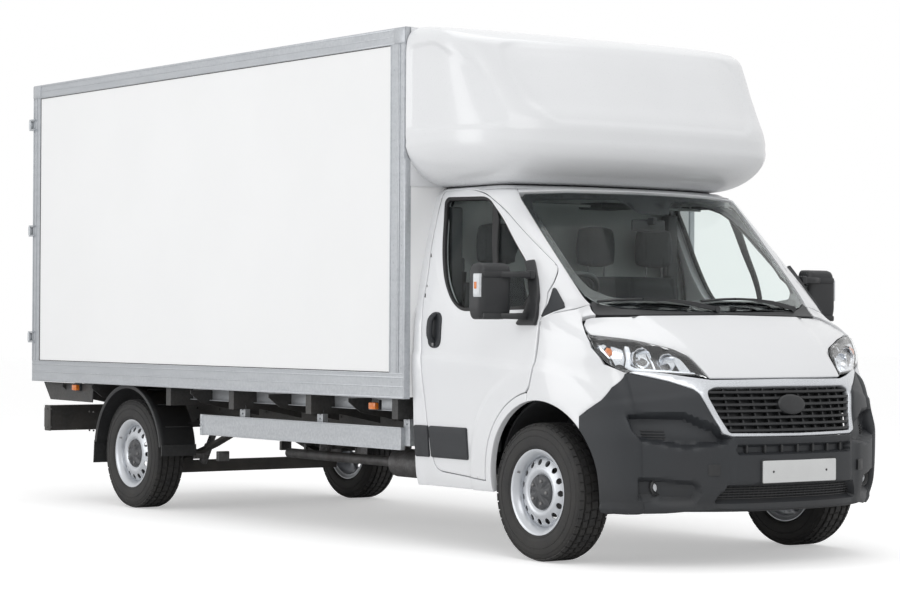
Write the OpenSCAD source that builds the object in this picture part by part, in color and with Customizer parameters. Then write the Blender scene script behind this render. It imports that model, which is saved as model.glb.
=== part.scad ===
// Box truck: a front-wheel-drive van chassis with a two-door cab, a panelled box body and a
// rounded pod over the cab that opens into the box.
// +Z is up, the front faces -Y, +X is the vehicle's left side. Origin: on the ground,
// halfway along and on the centre plane. Stations (s) run rearwards from the front axle.

/* [Overall] */
// Distance between the axles
wheelbase = 4500; // [4000:50:4900]
// Front axle to the nose of the bumper
front_overhang = 950; // [850:10:1050]
// Front axle to the front face of the box
box_start = 1115; // [1105:5:1200]
// Length of the box, front face to rear face
box_length = 4665; // [4300:5:5400]
// Width of the box over its rails
box_width = 2180; // [2150:10:2400]
// Height of the underside of the box
box_base = 835; // [820:5:900]
// Height of the box from its underside to the roof
box_height = 2115; // [2115:5:2500]

/* [Box body] */
// Thickness of the side, front and roof panels
panel_t = 30; // [20:1:40]
// Thickness of the load floor
floor_t = 60; // [40:5:80]
// Depth of the bottom rails
bottom_rail_h = 145; // [120:5:180]
// Depth of the roof rails
roof_rail_h = 95; // [70:5:120]
// Width of the front corner posts along the box
front_post_w = 150; // [120:5:170]
// Width of the rear corner posts along the box
rear_post_w = 110; // [90:5:130]
// Thickness of the rails and posts
rail_t = 42; // [34:1:60]
// Thickness of a rear door
rear_door_t = 36; // [25:1:45]
// Running gap around the rear doors
rear_door_gap = 6; // [5:1:10]
// Distance of the rear hinge pins outside the box sides
hinge_out = 16; // [14:1:24]
// Distance of the rear hinge pins behind the doors
hinge_back = 16; // [16:1:24]
// Radius of a rear hinge pin
hinge_pin_r = 6; // [4:0.5:8]

/* [Wheels] */
// Outside diameter of a tyre
tyre_d = 740; // [700:5:780]
// Width of a tyre
tyre_w = 225; // [195:5:235]
// Diameter of the bead seat of a wheel
seat_d = 406; // [381:1:432]
// Diameter over the flanges of a wheel
flange_d = 460; // [440:1:470]
// Distance between the front tyre centres
front_track = 1796; // [1750:2:1810]
// Distance between the rear tyre centres
rear_track = 1754; // [1720:2:1800]
// Radius of a stub axle
stub_r = 30; // [24:1:34]
// Running clearance of bearings and pins
run_gap = 0.1; // [0.05:0.01:0.1]
// Distance of a steering pivot inside the tyre centre
pivot_in = 28; // [20:1:40]

/* [Cab] */
// Half width of the cab at its waist
cab_half = 1025; // [1000:5:1050]
// Thickness of a cab door
door_t = 58; // [45:1:70]
// Depth of the outer skin of a door, which stands out past its inner part
skin_t = 14; // [10:1:20]
// How far the outer skin stands out round the edge
skin_step = 14; // [12:1:20]
// Thickness of the cab roof, pillars and rear wall
shell_t = 62; // [45:1:70]
// Gap round the doors and the bonnet
shut_gap = 8; // [6:1:10]
// Thickness of the glass
glass_t = 6; // [4:1:8]
// Radius of the front wheel arch
arch_r = 430; // [425:1:445]
// Height of the cab floor
cab_floor_z = 480; // [450:5:520]

/* [Pod] */
// Thickness of the pod's skin
pod_t = 40; // [25:1:50]

/* [Hidden] */
$fn = 48;
eps = 0.01;
far = 4000;

white = [0.93, 0.94, 0.95];
alloy = [0.70, 0.72, 0.74];
dark = [0.20, 0.21, 0.23];
black = [0.08, 0.08, 0.09];
tint = [0.55, 0.68, 0.66, 0.4];

box_end = box_start + box_length;
box_top = box_base + box_height;
box_half = box_width / 2;
barrel_r = hinge_pin_r + 5;
rear_tip = box_end + hinge_back + barrel_r;
mid_s = (rear_tip - front_overhang) / 2;
axle_z = tyre_d / 2;
front_x = front_track / 2;
rear_x = rear_track / 2;
pivot_x = front_x - pivot_in;
inner_half = box_half - rail_t;
floor_top = box_base + bottom_rail_h - 15;

// ---- Body surface of the cab ----
// Each level is a plan curve: a bowed front face out to edge_at, then a quarter-oval corner that
// runs into the flat side. Rows are [height, half width, edge of the front face, nose station,
// bow of the front face, station where the side turns flat].
nose = -front_overhang;
cab_rows = [[260, 930, 760, nose + 60, 290, -20], [340, 985, 806, nose + 22, 295, -10],
    [430, 1000, 822, nose + 2, 298, 0], [520, 1006, 828, nose, 298, 0], [677, 1018, 832, nose + 3, 298, 0],
    [800, 1022, 834, -910, 298, 0], [900, cab_half, 834, -885, 298, 0], [985, cab_half, 830, -842, 298, 0],
    [1020, 1025, 840, -810, 290, 0], [1060, 1025, 856, -765, 262, 0], [1100, 1024, 875, -715, 226, 0],
    [1150, 1023, 898, -648, 200, 0], [1200, 1021, 920, -575, 182, 0], [1250, 1018, 916, -495, 180, 0],
    [1300, 1013, 880, -410, 178, 0], [1340, 1008, 838, -352, 160, 10], [1375, 1003, 803, -312, 132, 30],
    [1500, 984, 800, -185, 131, 130], [1700, 944, 799, 18, 130, 335], [1850, 908, 797, 170, 130, 480],
    [1980, 870, 794, 302, 130, 610], [2010, 856, 786, 334, 130, 636], [2030, 834, 764, 378, 128, 655],
    [2045, 778, 700, 470, 110, 680]];
function col(z, k) = lookup(z, [for (r = cab_rows) [r[0], r[k]]]);
function half_at(z) = col(z, 1);
bow_power = 2.7;
function front_s(x, z) = let (w = col(z, 1), e = col(z, 2), f = col(z, 3), b = col(z, 4), q = col(z, 5), a = abs(x))
    a <= e ? f + b * pow(a / e, bow_power)
    : f + b + (q - f - b) * (1 - sqrt(max(0, 1 - pow(min(1, (a - e) / (w - e)), 2))));
function side_x(s, z) = let (w = col(z, 1), e = col(z, 2), f = col(z, 3), b = col(z, 4), q = col(z, 5))
    s >= q ? w
    : s >= f + b ? e + (w - e) * sqrt(max(0, 1 - pow(1 - (s - f - b) / (q - f - b), 2)))
    : e * pow(max(0, s - f) / b, 1 / bow_power);
// A point of the plan curve, t below the surface: u runs 0 to 1 over the face and 1 to 2 round the corner
function front_pt(v, z, t) = let (u = abs(v), d = v < 0 ? -1 : 1, w = col(z, 1) - t, e = col(z, 2) - 0.6 * t,
    f = col(z, 3) + t, b = col(z, 4) - 0.2 * t, q = col(z, 5) + 0.2 * t)
    u <= 1 ? [d * e * u, f + b * pow(u, bow_power), z]
    : [d * (e + (w - e) * sin((u - 1) * 90)), f + b + (q - f - b) * (1 - cos((u - 1) * 90)), z];

// ---- Body surface of the pod ----
pod_half_rows = [[2045, 800], [2060, 880], [2090, 950], [2130, 1004], [2180, 1048], [2230, 1076],
    [2280, box_half], [2800, box_half], [2870, box_half - 8], [2920, box_half - 34], [box_top, box_half - 90]];
pod_nose_rows = [[2045, 450], [2060, 360], [2090, 275], [2130, 210], [2180, 165], [2230, 145],
    [2300, 148], [2376, 166], [2500, 250], [2650, 358], [2780, 452], [2840, 505], [2880, 600],
    [2920, 770], [box_top, 960]];
pod_turn = 820;
pod_n = 3.3;
function pod_pt(a, z, t) = let (w = lookup(z, pod_half_rows) - t, f = lookup(z, pod_nose_rows) + t,
    c = max(pod_turn, f + 160))
    [w * sign(a) * pow(abs(sin(a)), 2 / pod_n), c - (c - f) * pow(max(0, cos(a)), 2 / pod_n), z];

// A closed wall between two equal grids of points, rows by columns
module wall_between(outer, inner) {
    r = len(outer);
    c = len(outer[0]);
    n = r * c;
    pts = concat([for (row = outer) each row], [for (row = inner) each row]);
    function id(i, j, k) = k * n + i * c + j;
    faces = concat(
        [for (i = [0:r - 2], j = [0:c - 2]) each [[id(i, j, 0), id(i + 1, j, 0), id(i + 1, j + 1, 0)],
            [id(i, j, 0), id(i + 1, j + 1, 0), id(i, j + 1, 0)]]],
        [for (i = [0:r - 2], j = [0:c - 2]) each [[id(i, j, 1), id(i + 1, j + 1, 1), id(i + 1, j, 1)],
            [id(i, j, 1), id(i, j + 1, 1), id(i + 1, j + 1, 1)]]],
        [for (j = [0:c - 2]) each [[id(0, j, 0), id(0, j + 1, 0), id(0, j + 1, 1)],
            [id(0, j, 0), id(0, j + 1, 1), id(0, j, 1)]]],
        [for (j = [0:c - 2]) each [[id(r - 1, j + 1, 0), id(r - 1, j, 0), id(r - 1, j, 1)],
            [id(r - 1, j + 1, 0), id(r - 1, j, 1), id(r - 1, j + 1, 1)]]],
        [for (i = [0:r - 2]) each [[id(i + 1, 0, 0), id(i, 0, 0), id(i, 0, 1)],
            [id(i + 1, 0, 0), id(i, 0, 1), id(i + 1, 0, 1)]]],
        [for (i = [0:r - 2]) each [[id(i, c - 1, 0), id(i + 1, c - 1, 0), id(i + 1, c - 1, 1)],
            [id(i, c - 1, 0), id(i + 1, c - 1, 1), id(i, c - 1, 1)]]]);
    polyhedron(pts, faces);
}

// A stretch of the cab's side (left side, x > 0), between two depths below its surface
module side_sheet(zs, ss, t0, t1)
    wall_between([for (z = zs) [for (s = ss) [side_x(s, z) - t0, s, z]]],
        [for (z = zs) [for (s = ss) [side_x(s, z) - t1, s, z]]]);

// A stretch of the cab's front, between two depths below its surface
module front_sheet(zs, us, t0, t1)
    wall_between([for (z = zs) [for (u = us) front_pt(u, z, t0)]],
        [for (z = zs) [for (u = us) front_pt(u, z, t1)]]);
half_us = [0, 0.2, 0.4, 0.55, 0.7, 0.85, 1, 1.2, 1.4, 1.6, 1.8, 2];
function both_sides(us) = concat([for (i = [len(us) - 1:-1:1]) -us[i]], us);
full_us = both_sides(half_us);
face_us = both_sides([for (u = half_us) if (u <= 1.6) u]);
mid_us = both_sides([for (u = half_us) if (u <= 1.2) u]);

module left_and_right() {
    children();
    mirror([1, 0, 0]) children();
}
// Outlines drawn in the side view (station, height), pushed through the width
module through_side(x0, x1) translate([x0, 0, 0]) rotate([90, 0, 90]) linear_extrude(x1 - x0) children();
// Outlines drawn in the front view (x, height), pushed through the length
module through_front(s0, s1) translate([0, s1, 0]) rotate([90, 0, 0]) linear_extrude(s1 - s0) children();
module block(x0, x1, s0, s1, z0, z1) translate([x0, s0, z0]) cube([x1 - x0, s1 - s0, z1 - z0]);
module block_pair(x0, x1, s0, s1, z0, z1) left_and_right() block(x0, x1, s0, s1, z0, z1);
module whole() translate([0, -mid_s, 0]) children();

arch_s = -30;
arch_z = 430;
door_arch_r = arch_r + 52;
function arc(cx, cz, r, a0, a1, k) = [for (i = [0:k]) let (a = a0 + (a1 - a0) * i / k)
    [cx + r * cos(a), cz + r * sin(a)]];

// Side outline of the door opening and of the door inside it
door_pts = concat([[1062, 2022], [800, 2022], [640, 1990], [440, 1895], [150, 1680], [14, 1565],
    [-32, 1480], [-26, 1250], [-6, 1080], [40, 930]],
    arc(arch_s, arch_z, door_arch_r, 78, -2, 9), [[470, 412], [880, 440], [930, 470], [975, 660],
    [1008, 880], [1030, 1080], [1050, 1360]]);
window_pts = [[1028, 1965], [1010, 1985], [620, 1976], [440, 1850], [150, 1590], [62, 1500], [66, 1345],
    [690, 1335], [790, 1390], [880, 1500], [940, 1640]];
module door_shape(gap) offset(delta = -gap) polygon(door_pts);
module window_shape() polygon(window_pts);

side_zs = [390, 480, 620, 800, 950, 1100, 1250, 1400, 1550, 1700, 1850, 1980, 2035];
side_ss = [-45, 20, 120, 240, 380, 540, 720, 1070];

module door_layer(t0, t1, gap) intersection() {
    difference() {
        side_sheet(side_zs, side_ss, t0, t1);
        through_side(600, 1100) window_shape();
    }
    through_side(600, 1100) door_shape(gap);
}
module door_panel() {
    door_layer(0, skin_t, shut_gap);
    door_layer(skin_t, door_t, shut_gap + skin_step);
    door_hinge_leaves();
}
// Cab door hinges: the line they turn on, just outside the body, and the foot of each barrel
door_hinge_x = cab_half + 12;
door_hinge_s = -34;
door_hinge_zs = [1075, 1195];
door_pin_r = 4;
module door_pin(z, h, r) translate([door_hinge_x, door_hinge_s, z]) cylinder(h, r = r);
module door_hinge_leaves() for (z = door_hinge_zs) difference() {
    union() {
        door_pin(z, 40, door_pin_r + 3);
        block(door_hinge_x - 7, door_hinge_x, door_hinge_s, 64, z, z + 40);
        block(side_x(60, z + 20) - 6, door_hinge_x, 38, 64, z, z + 40);
    }
    door_pin(z - 1, 42, door_pin_r + run_gap);
}
module door_hinge_pins() for (z = door_hinge_zs) {
    door_pin(z - 8, 56, door_pin_r);
    for (h = [z - 9, z + 41]) block(side_x(cowl_s, h) - 20, door_hinge_x + 6, cowl_s + 1, door_hinge_s + 7, h, h + 8);
}
module door_pane() intersection() {
    side_sheet([1300, 1400, 1550, 1700, 1850, 1995], side_ss, 24, 24 + glass_t);
    through_side(600, 1100) window_shape();
}

// Front-view outlines of the cab (x, height), for one half, taken out to the left
screen_pts = [[0, 1352], [400, 1356], [640, 1364], [750, 1384], [796, 1424], [800, 1500],
    [794, 1950], [770, 1990], [500, 2003], [0, 2008]];
bonnet_pts = [[0, 992], [462, 992], [504, 1108], [566, 1152], [752, 1202], [880, 1222], [925, 1236],
    [925, 1250], [870, 1300], [830, 1309], [760, 1313], [500, 1316], [0, 1322]];
lamp_pts = [[500, 984], [515, 1002], [690, 1012], [832, 1018], [915, 1062], [950, 1145], [950, 1210],
    [900, 1205], [754, 1189], [573, 1142], [514, 1100], [472, 990]];
grille_pts = [[0, 690], [430, 684], [462, 700], [552, 907], [500, 984], [0, 984]];
bumper_pts = [[0, 300], [1100, 300], [1100, 1100], [915, 1062], [832, 1018], [690, 1012], [515, 1002],
    [500, 984], [552, 907], [462, 700], [430, 684], [0, 690]];
function reversed(v) = [for (i = [len(v) - 1:-1:0]) v[i]];
// The outline of both halves as one polygon, from a half whose ends lie on the centre line
module both_halves(pts) polygon(concat(pts, [for (p = reversed(pts)) if (p[0] > 0) [-p[0], p[1]]]));
// Side-view line where the bumper meets the wing
wing_seam = [[-348, 200], [-348, 786], [-400, 822], [-470, 870], [-515, 940], [-545, 1022]];
cowl_s = -44;
cowl_z = 1345;

module arch_hole(r) through_side(500, 1200) translate([arch_s, arch_z]) circle(r, $fn = 96);

// ---- Cab ----
cab_back = box_start - 5;
shell_zs = [345, 430, 520, 677, 800, 900, 1020, 1100, 1200, 1250, 1300, cowl_z, 1375, 1500, 1600, 1700,
    1850, 1980, 2010, 2030, 2045];
module cab_solid(zs, t, back) stack([for (z = zs) concat([[half_at(z) - t, back, z]],
    reversed([for (u = full_us) front_pt(u, z, t)]), [[t - half_at(z), back, z]])]);
// A solid through a stack of level loops that all have the same number of points
module stack(loops) {
    n = len(loops[0]);
    k = len(loops);
    polyhedron([for (r = loops) each r], concat(
        [[for (j = [n - 1:-1:0]) j]],
        [[for (j = [0:n - 1]) (k - 1) * n + j]],
        [for (i = [0:k - 2], j = [0:n - 1]) each [[i * n + j, i * n + (j + 1) % n, (i + 1) * n + (j + 1) % n],
            [i * n + j, (i + 1) * n + (j + 1) % n, (i + 1) * n + j]]]));
}
module cab_shell() color(white) whole() {
    cab_walls();
    left_and_right() door_hinge_pins();
}
module cab_walls() difference() {
    cab_solid(shell_zs, 0, cab_back);
    cab_solid([for (z = shell_zs) if (z < 2045 - roof_t) z], shell_t, cab_back - back_t);
    left_and_right() through_side(500, 1200) door_shape(0);
    left_and_right() arch_hole(arch_r);
    through_front(-700, 700) both_halves(screen_pts);
    block(-far, far, -far, cowl_s, 0, cowl_z);
    block(-half_at(430) + shell_t, half_at(430) - shell_t, cab_back - back_t - 1, far, 0, cab_floor_z - 40);
}
roof_t = 30;
back_t = 45;

wing_t = 42;
module front_wings() color(white) whole() left_and_right() difference() {
    side_sheet([600, 700, 800, 900, 985, 1060, 1100, 1150, 1200, 1250, 1300, 1325, cowl_z - 2],
        [-620, -540, -470, -400, -320, -240, -160, -100, cowl_s], 0, wing_t);
    arch_hole(arch_r);
    through_side(500, 1200) polygon(concat([[-1000, 200]], wing_seam, [[-1000, 1022]]));
    through_front(-1000, 400) polygon(lamp_pts);
    through_front(-1000, 400) offset(delta = shut_gap) both_halves(bonnet_pts);
    block(-884, 884, -1000, 400, 1290, 1400);
}
// Bonnet hinge: the line it turns on, under the scuttle
hood_x = 600;
hood_s = -260;
hood_z = 1312;
hood_pin_r = 5;
hood_t = 18;
module hood_barrel(x0, x1, r) translate([x0, hood_s, hood_z]) rotate([0, 90, 0]) cylinder(x1 - x0, r = r);
module bonnet() color(white) whole() difference() {
    union() {
        intersection() {
            front_sheet([985, 1020, 1060, 1100, 1150, 1200, 1250, 1300, 1340], mid_us, 0, hood_t);
            through_front(-1000, 400) both_halves(bonnet_pts);
        }
        left_and_right() {
            hood_barrel(hood_x - 15, hood_x + 15, 10);
            through_side(hood_x - 15, hood_x + 15) translate([hood_s, hood_z])
                polygon([[0, 0], [0, -10], [-92, -24], [-80, -14], [-54, 0]]);
        }
    }
    left_and_right() {
        hood_barrel(hood_x - 16, hood_x + 16, hood_pin_r + run_gap);
        for (x = [hood_x - 27, hood_x + 15]) hood_barrel(x, x + 12, 16);
    }
}
module scuttle_panel() color(black) whole() {
    translate([0, 0, cowl_z - 8]) linear_extrude(8) polygon(concat(
        [for (x = [-840:120:840]) [x, front_s(x, cowl_z) + 24]], [[840, dash_s], [-840, dash_s]]));
    left_and_right() {
        hood_barrel(hood_x - 24, hood_x + 24, hood_pin_r);
        for (x = [hood_x - 24, hood_x + 16]) {
            block(x, x + 8, hood_s - 8, hood_s + 22, hood_z - 8, cowl_z - 7);
        }
    }
}
module headlamps() color([0.8, 0.82, 0.84]) whole() left_and_right() intersection() {
    front_sheet([950, 985, 1020, 1060, 1100, 1150, 1212], [0.5, 0.7, 0.85, 1, 1.2, 1.4, 1.6], 0, 60);
    through_front(-1000, 400) polygon(lamp_pts);
}
module grille() color(black) whole() intersection() {
    front_sheet([677, 800, 900, 985], both_sides([0, 0.2, 0.4, 0.55, 0.7, 0.85]), 0, 50);
    through_front(-1200, 400) both_halves(grille_pts);
}
module front_bumper() color(dark) whole() difference() {
    intersection() {
        front_sheet([300, 340, 430, 520, 677, 800, 900, 985, 1020], both_sides([for (u = half_us) if (u < 2) u]), 0, 60);
        through_front(-1200, 400) both_halves(bumper_pts);
    }
    left_and_right() arch_hole(arch_r);
    left_and_right() through_side(500, 1200) polygon(concat(wing_seam, [[-545, 1100], [300, 1100], [300, 200]]));
}
module windscreen() color(tint) whole() intersection() {
    front_sheet([1350, 1375, 1500, 1700, 1850, 1980, 2010], mid_us,
        12, 12 + glass_t * 1.5);
    through_front(-700, 700) both_halves(screen_pts);
}
module cab_floor() color([0.3, 0.3, 0.32]) whole() {
    block(-930, 930, 400, cab_back - back_t, cab_floor_z - 40, cab_floor_z);
    block(-560, 560, dash_s - 30, 401, cab_floor_z - 40, cab_floor_z);
    // bulkhead between engine and cab
    block(-560, 560, dash_s - 30, dash_s, cab_floor_z, cowl_z - 8);
    // liners over the front wheels, open round the struts
    left_and_right() difference() {
        union() {
            through_side(560, 930) difference() {
                liner_side(arch_r + 14);
                circle_at_arch(arch_r + 2);
            }
            through_side(559, 571) liner_side(arch_r + 14);
        }
        translate([strut_x, 0, 600]) cylinder(400, r = 40);
    }
}
strut_x = 715;
module circle_at_arch(r) translate([arch_s, arch_z]) circle(r, $fn = 96);
module liner_side(r) intersection() {
    circle_at_arch(r);
    translate([-340, cab_floor_z - 40]) square([1000, 600]);
}
dash_s = 92;
module dash_shape() polygon([[dash_s, 1300], [300, 1312], [350, 1250], [330, 1080], [240, 960], [dash_s, 960]]);
module dashboard() color([0.16, 0.16, 0.17]) whole() through_side(-900, 900) dash_shape();
module steering_wheel() color(black) whole() {
    translate([wheel_x, wheel_s, wheel_z]) rotate([-wheel_tilt, 0, 0]) {
        rotate_extrude() translate([wheel_r, 0]) circle(14);
        cylinder(40, r = 60, center = true);
        for (a = [0, 180, 270]) rotate([0, 0, a]) translate([50, -15, -8]) cube([wheel_r - 55, 30, 16]);
    }
    difference() {
        translate([wheel_x, wheel_s, wheel_z]) rotate([-wheel_tilt, 0, 0]) translate([0, 0, -190]) cylinder(180, r = 24);
        through_side(-900, 900) dash_shape();
    }
}
wheel_x = -560;
wheel_s = 330;
wheel_z = 1420;
wheel_r = 195;
wheel_tilt = 38;
module seat(w) {
    block(-w / 2, w / 2, 470, 960, 760, 900);
    block(-w / 2, w / 2, 880, 1000, 880, 1560);
}
module driver_seat() color([0.2, 0.2, 0.22]) whole() translate([-560, 0, 0]) {
    block(-200, 200, 520, 940, cab_floor_z, 761);
    seat(480);
    block(-130, 130, 900, 1000, 1620, 1850);
    for (x = [-60, 60]) translate([x, 950, 1550]) cylinder(80, r = 7);
}
module passenger_bench() color([0.2, 0.2, 0.22]) whole() translate([400, 0, 0]) {
    block(-420, 420, 520, 940, cab_floor_z, 761);
    seat(920);
    for (c = [-230, 220]) {
        block(c - 130, c + 130, 900, 1000, 1620, 1850);
        for (x = [-60, 60]) translate([c + x, 950, 1550]) cylinder(80, r = 7);
    }
}

// ---- Cab doors ----
module mirror_unit() {
    intersection() {
        side_sheet(side_zs, side_ss, -16, 0);
        through_side(600, 1100) polygon([[-8, 1262], [26, 1262], [84, 1560], [44, 1560], [-14, 1480]]);
    }
    difference() {
        for (z = [1292, 1514]) block(930, 1110, 46, 78, z, z + 30);
        side_sheet(side_zs, side_ss, 0, 300);
    }
    for (z = [1292, 1514]) block(1100, 1130, 46, 110, z, z + 30);
    block(1092, 1312, 100, 195, 1285, 1592);
}
module door_left() color(white) whole() door_panel();
module door_glass_left() color(tint) whole() door_pane();
module mirror_left() color(dark) whole() mirror_unit();
module door_right() mirror([1, 0, 0]) door_left();
module door_glass_right() mirror([1, 0, 0]) door_glass_left();
module mirror_right() mirror([1, 0, 0]) mirror_left();

// ---- Chassis ----
rail_x = 430;
rail_top = box_base - 120;
rail_h = 170;
beam_top = 439;
bearers = [box_start + 120, 2150, 3050, 3850];
module frame_rails() color(black) whole() left_and_right() {
    difference() {
        block(rail_x - 35, rail_x + 35, box_start + 30, box_end - 120, rail_top - rail_h, rail_top);
        block(rail_x - 36, rail_x + 28, box_start + 40, box_end - 130, rail_top - rail_h + 7, rail_top - 7);
    }
    // legs that drop to the cab's lower beams
    block(rail_x - 35, rail_x + 35, box_start + 30, box_start + 230, beam_top, rail_top - rail_h + 1);
}
module frame_crossmembers() color(black) whole() {
    for (s = cross_at) block(-rail_x - 28, rail_x + 28, s, s + 60, rail_top - 130, rail_top - 40);
    // flange for a tow ball
    difference() {
        union() {
            block(-40, 40, tow_s - 50, tow_s - 10, tow_z - 35, rail_top - 129);
            block(-65, 65, tow_s - 11, tow_s, tow_z - 45, tow_z + 45);
        }
        for (x = [-tow_x / 2, tow_x / 2], z = [-tow_h / 2, tow_h / 2]) translate([x, tow_s - 60, tow_z + z])
            rotate([-90, 0, 0]) cylinder(80, r = tow_hole_r);
    }
}
module floor_bearers() color(black) whole() {
    for (s = bearers) block(-inner_half + 2, inner_half - 2, s, s + 60, rail_top, bearer_top);
    for (s = axle_bearers) {
        block(-inner_half + 2, inner_half - 2, s, s + 60, box_base + 12, bearer_top);
        left_and_right() block(rail_x - 35, rail_x + 35, s, s + 60, rail_top, box_base + 13);
    }
}
cross_at = [box_start + 60, 2300, 3500, wheelbase + 900, box_end - 200];
bearer_top = box_base + bottom_rail_h - 15 - floor_t;
axle_bearers = [wheelbase, wheelbase + 700];
tow_s = box_end - 136;
tow_z = 420;
tow_x = 100;
tow_h = 56;
tow_hole_r = 6.5;
module front_subframe() color(black) whole() {
    left_and_right() block(rail_x - 35, rail_x + 35, -720, box_start + 229, 330, beam_top);
    block(-470, 470, -180, 20, 250, 331);
    block(-420, 420, -800, -720, 330, 520);
    left_and_right() {
        // lower arm and its pivot
        block(400, pivot_x + 20, -20, 20, 235, 265);
        translate([pivot_x, 0, 250]) cylinder(45, r = 12);
        // strut
        translate([strut_x, 0, 470]) cylinder(460, r = 28);
        block(rail_x - 10, strut_x, -40, 40, 900, 930);
        block(rail_x - 35, rail_x + 35, -60, 60, beam_top - 1, 930);
        block(700, pivot_x + 18, -18, 18, 500, 522);
        translate([pivot_x, 0, 470]) cylinder(45, r = 12);
    }
}
module rear_axle() color(black) whole() {
    block(-640, 640, wheelbase - 45, wheelbase + 45, 230, 310);
    left_and_right() {
        block(600, 660, wheelbase - 45, wheelbase + 45, 230, axle_z + 45);
        translate([640, wheelbase, axle_z]) rotate([0, 90, 0]) cylinder(rear_x + 20 - 640, r = stub_r);
        translate([650, wheelbase, axle_z]) rotate([0, 90, 0]) cylinder(40, r = 80);
        // leaf spring
        through_side(525, 595) polygon([[wheelbase - 720, 540], [wheelbase - 380, 420], [wheelbase - 60, 330],
            [wheelbase + 60, 330], [wheelbase + 380, 420], [wheelbase + 720, 540], [wheelbase + 720, 560],
            [wheelbase + 380, 442], [wheelbase + 60, 352], [wheelbase - 60, 352], [wheelbase - 380, 442],
            [wheelbase - 720, 560]]);
        block(525, 595, wheelbase - 50, wheelbase + 50, 309, 331);
        for (s = [-720, 690]) block(rail_x + 35, 595, wheelbase + s, wheelbase + s + 30, 530, 640);
    }
}
module engine_block() color([0.35, 0.35, 0.36]) whole() {
    block(-360, 360, -600, -120, 470, 900);
    block(-440, 440, -430, -330, beam_top, 471);
}
module fuel_tank() color(black) whole() block(rail_x + 35, 760, 1900, 2900, 330, 600);
module exhaust() color([0.45, 0.45, 0.46]) whole() {
    translate([-220, 200, 390]) rotate([-90, 0, 0]) cylinder(3500, r = 32);
    translate([-220, 1700, 390]) rotate([-90, 0, 0]) cylinder(700, r = 90);
    block(-240, -200, 2310, 2350, 390, rail_top - 130);
}

// ---- Box ----
roof_edge = box_top - roof_rail_h;
post_end = box_start + front_post_w;
module box_floor() color([0.55, 0.42, 0.28]) whole()
    block(-inner_half, inner_half, box_start + panel_t, box_end - rear_post_w, floor_top - floor_t, floor_top);
module box_frame() color(alloy) whole() {
    left_and_right() {
        block(inner_half, box_half, box_start, box_end, box_base, box_base + bottom_rail_h);
        block(inner_half - 14, box_half, box_start, box_end, roof_edge, box_top);
        block(inner_half, box_half, box_start, post_end, box_base, box_top);
        block(inner_half - 10, box_half, box_end - rear_post_w, box_end, box_base, box_top);
        rear_hinge_pins();
    }
    // rear sill and header
    block(-box_half, box_half, box_end - rear_post_w, box_end, box_base, floor_top);
    block(-box_half, box_half, box_end - rear_post_w, box_end, roof_edge, box_top);
}
module box_sides() color(white) whole() left_and_right()
    block(box_half - panel_t - 4, box_half - 4, post_end, box_end - rear_post_w, box_base + bottom_rail_h, roof_edge);
module box_front_wall() color(white) whole()
    block(-inner_half, inner_half, box_start, box_start + panel_t, box_base + 10, pod_floor + 35);
module box_roof() color(white) whole()
    block(-inner_half + 14, inner_half - 14, box_start, box_end - rear_post_w, box_top - panel_t - 4, box_top - 4);
pod_floor = 2080;
pod_zs = [2045, 2060, 2090, 2130, 2180, 2230, 2280, 2376, 2500, 2650, 2800, 2840, 2880, 2920, box_top];
module pod_solid(t) {
    zs = [for (z = pod_zs) t == 0 ? z : 2045 + pod_t + (z - 2045) * (box_top - 2045 - 2 * pod_t) / (box_top - 2045)];
    back = box_start + (t > 0 ? 1 : 0);
    stack([for (z = zs) concat([[pod_pt(90, z, t)[0], back, z]], [for (a = [90:-10:-90]) pod_pt(a, z, t)],
        [[pod_pt(-90, z, t)[0], back, z]])]);
}
module luton_pod() color(white) whole() difference() {
    pod_solid(0);
    pod_solid(pod_t);
}
module side_guards() color(alloy) whole() left_and_right() {
    block(960, 985, 1290, 3560, 535, 665);
    for (s = [bearers[0], bearers[1], bearers[2]]) block(925, 960, s, s + 60, 560, rail_top);
}
module rear_mudguards() color(black) whole() left_and_right() {
    through_side(rear_x - 130, rear_x + 140) difference() {
        translate([wheelbase, axle_z]) circle(guard_r, $fn = 96);
        translate([wheelbase, axle_z]) circle(guard_r - 12, $fn = 96);
        translate([wheelbase - 600, -300]) square([1200, axle_z + 300 + 60]);
    }
    for (s = [wheelbase - 415, wheelbase + 385]) block(rail_x + 35, rear_x - 100, s, s + 30, 560, 590);
}
guard_r = box_base - axle_z;
module rear_bumper() color(black) whole() {
    block(-1000, 1000, box_end - 110, box_end - 30, 480, 660);
    left_and_right() block(rail_x - 35, rail_x + 35, box_end - 120 + 0.01, box_end - 100, 480, rail_top);
}
module rear_door() {
    w = inner_half - 10 - rear_door_gap;
    pin_x = box_half + hinge_out;
    block(rear_door_gap / 2, w, box_end - rear_door_t, box_end, floor_top + rear_door_gap, roof_edge - rear_door_gap);
    for (z = hinge_zs) {
        block(w - 160, w, box_end - 1, box_end + 9, z - 30, z + 30);
        difference() {
            union() {
                block(w - 1, pin_x, box_end + 5, box_end + 9, z - 30, z + 30);
                translate([pin_x, box_end + hinge_back, z - 30]) cylinder(60, r = barrel_r);
            }
            translate([pin_x, box_end + hinge_back, z - 31]) cylinder(62, r = hinge_pin_r + run_gap);
        }
    }
    // lock bar and its keepers
    translate([w - 220, box_end + 14, floor_top + 60]) cylinder(roof_edge - floor_top - 120, r = 9);
    for (z = [floor_top + 200, 1500, roof_edge - 200])
        block(w - 235, w - 205, box_end - 1, box_end + 14, z, z + 40);
}
module rear_hinge_pins() for (z = hinge_zs) {
    translate([box_half + hinge_out, box_end + hinge_back, z - 34]) cylinder(68, r = hinge_pin_r);
    for (h = [z - 40, z + 31])
        block(box_half - 1, box_half + hinge_out + 7, box_end - 50, box_end + hinge_back + 7, h, h + 9);
}
hinge_zs = [1150, 1910, 2670];
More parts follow.
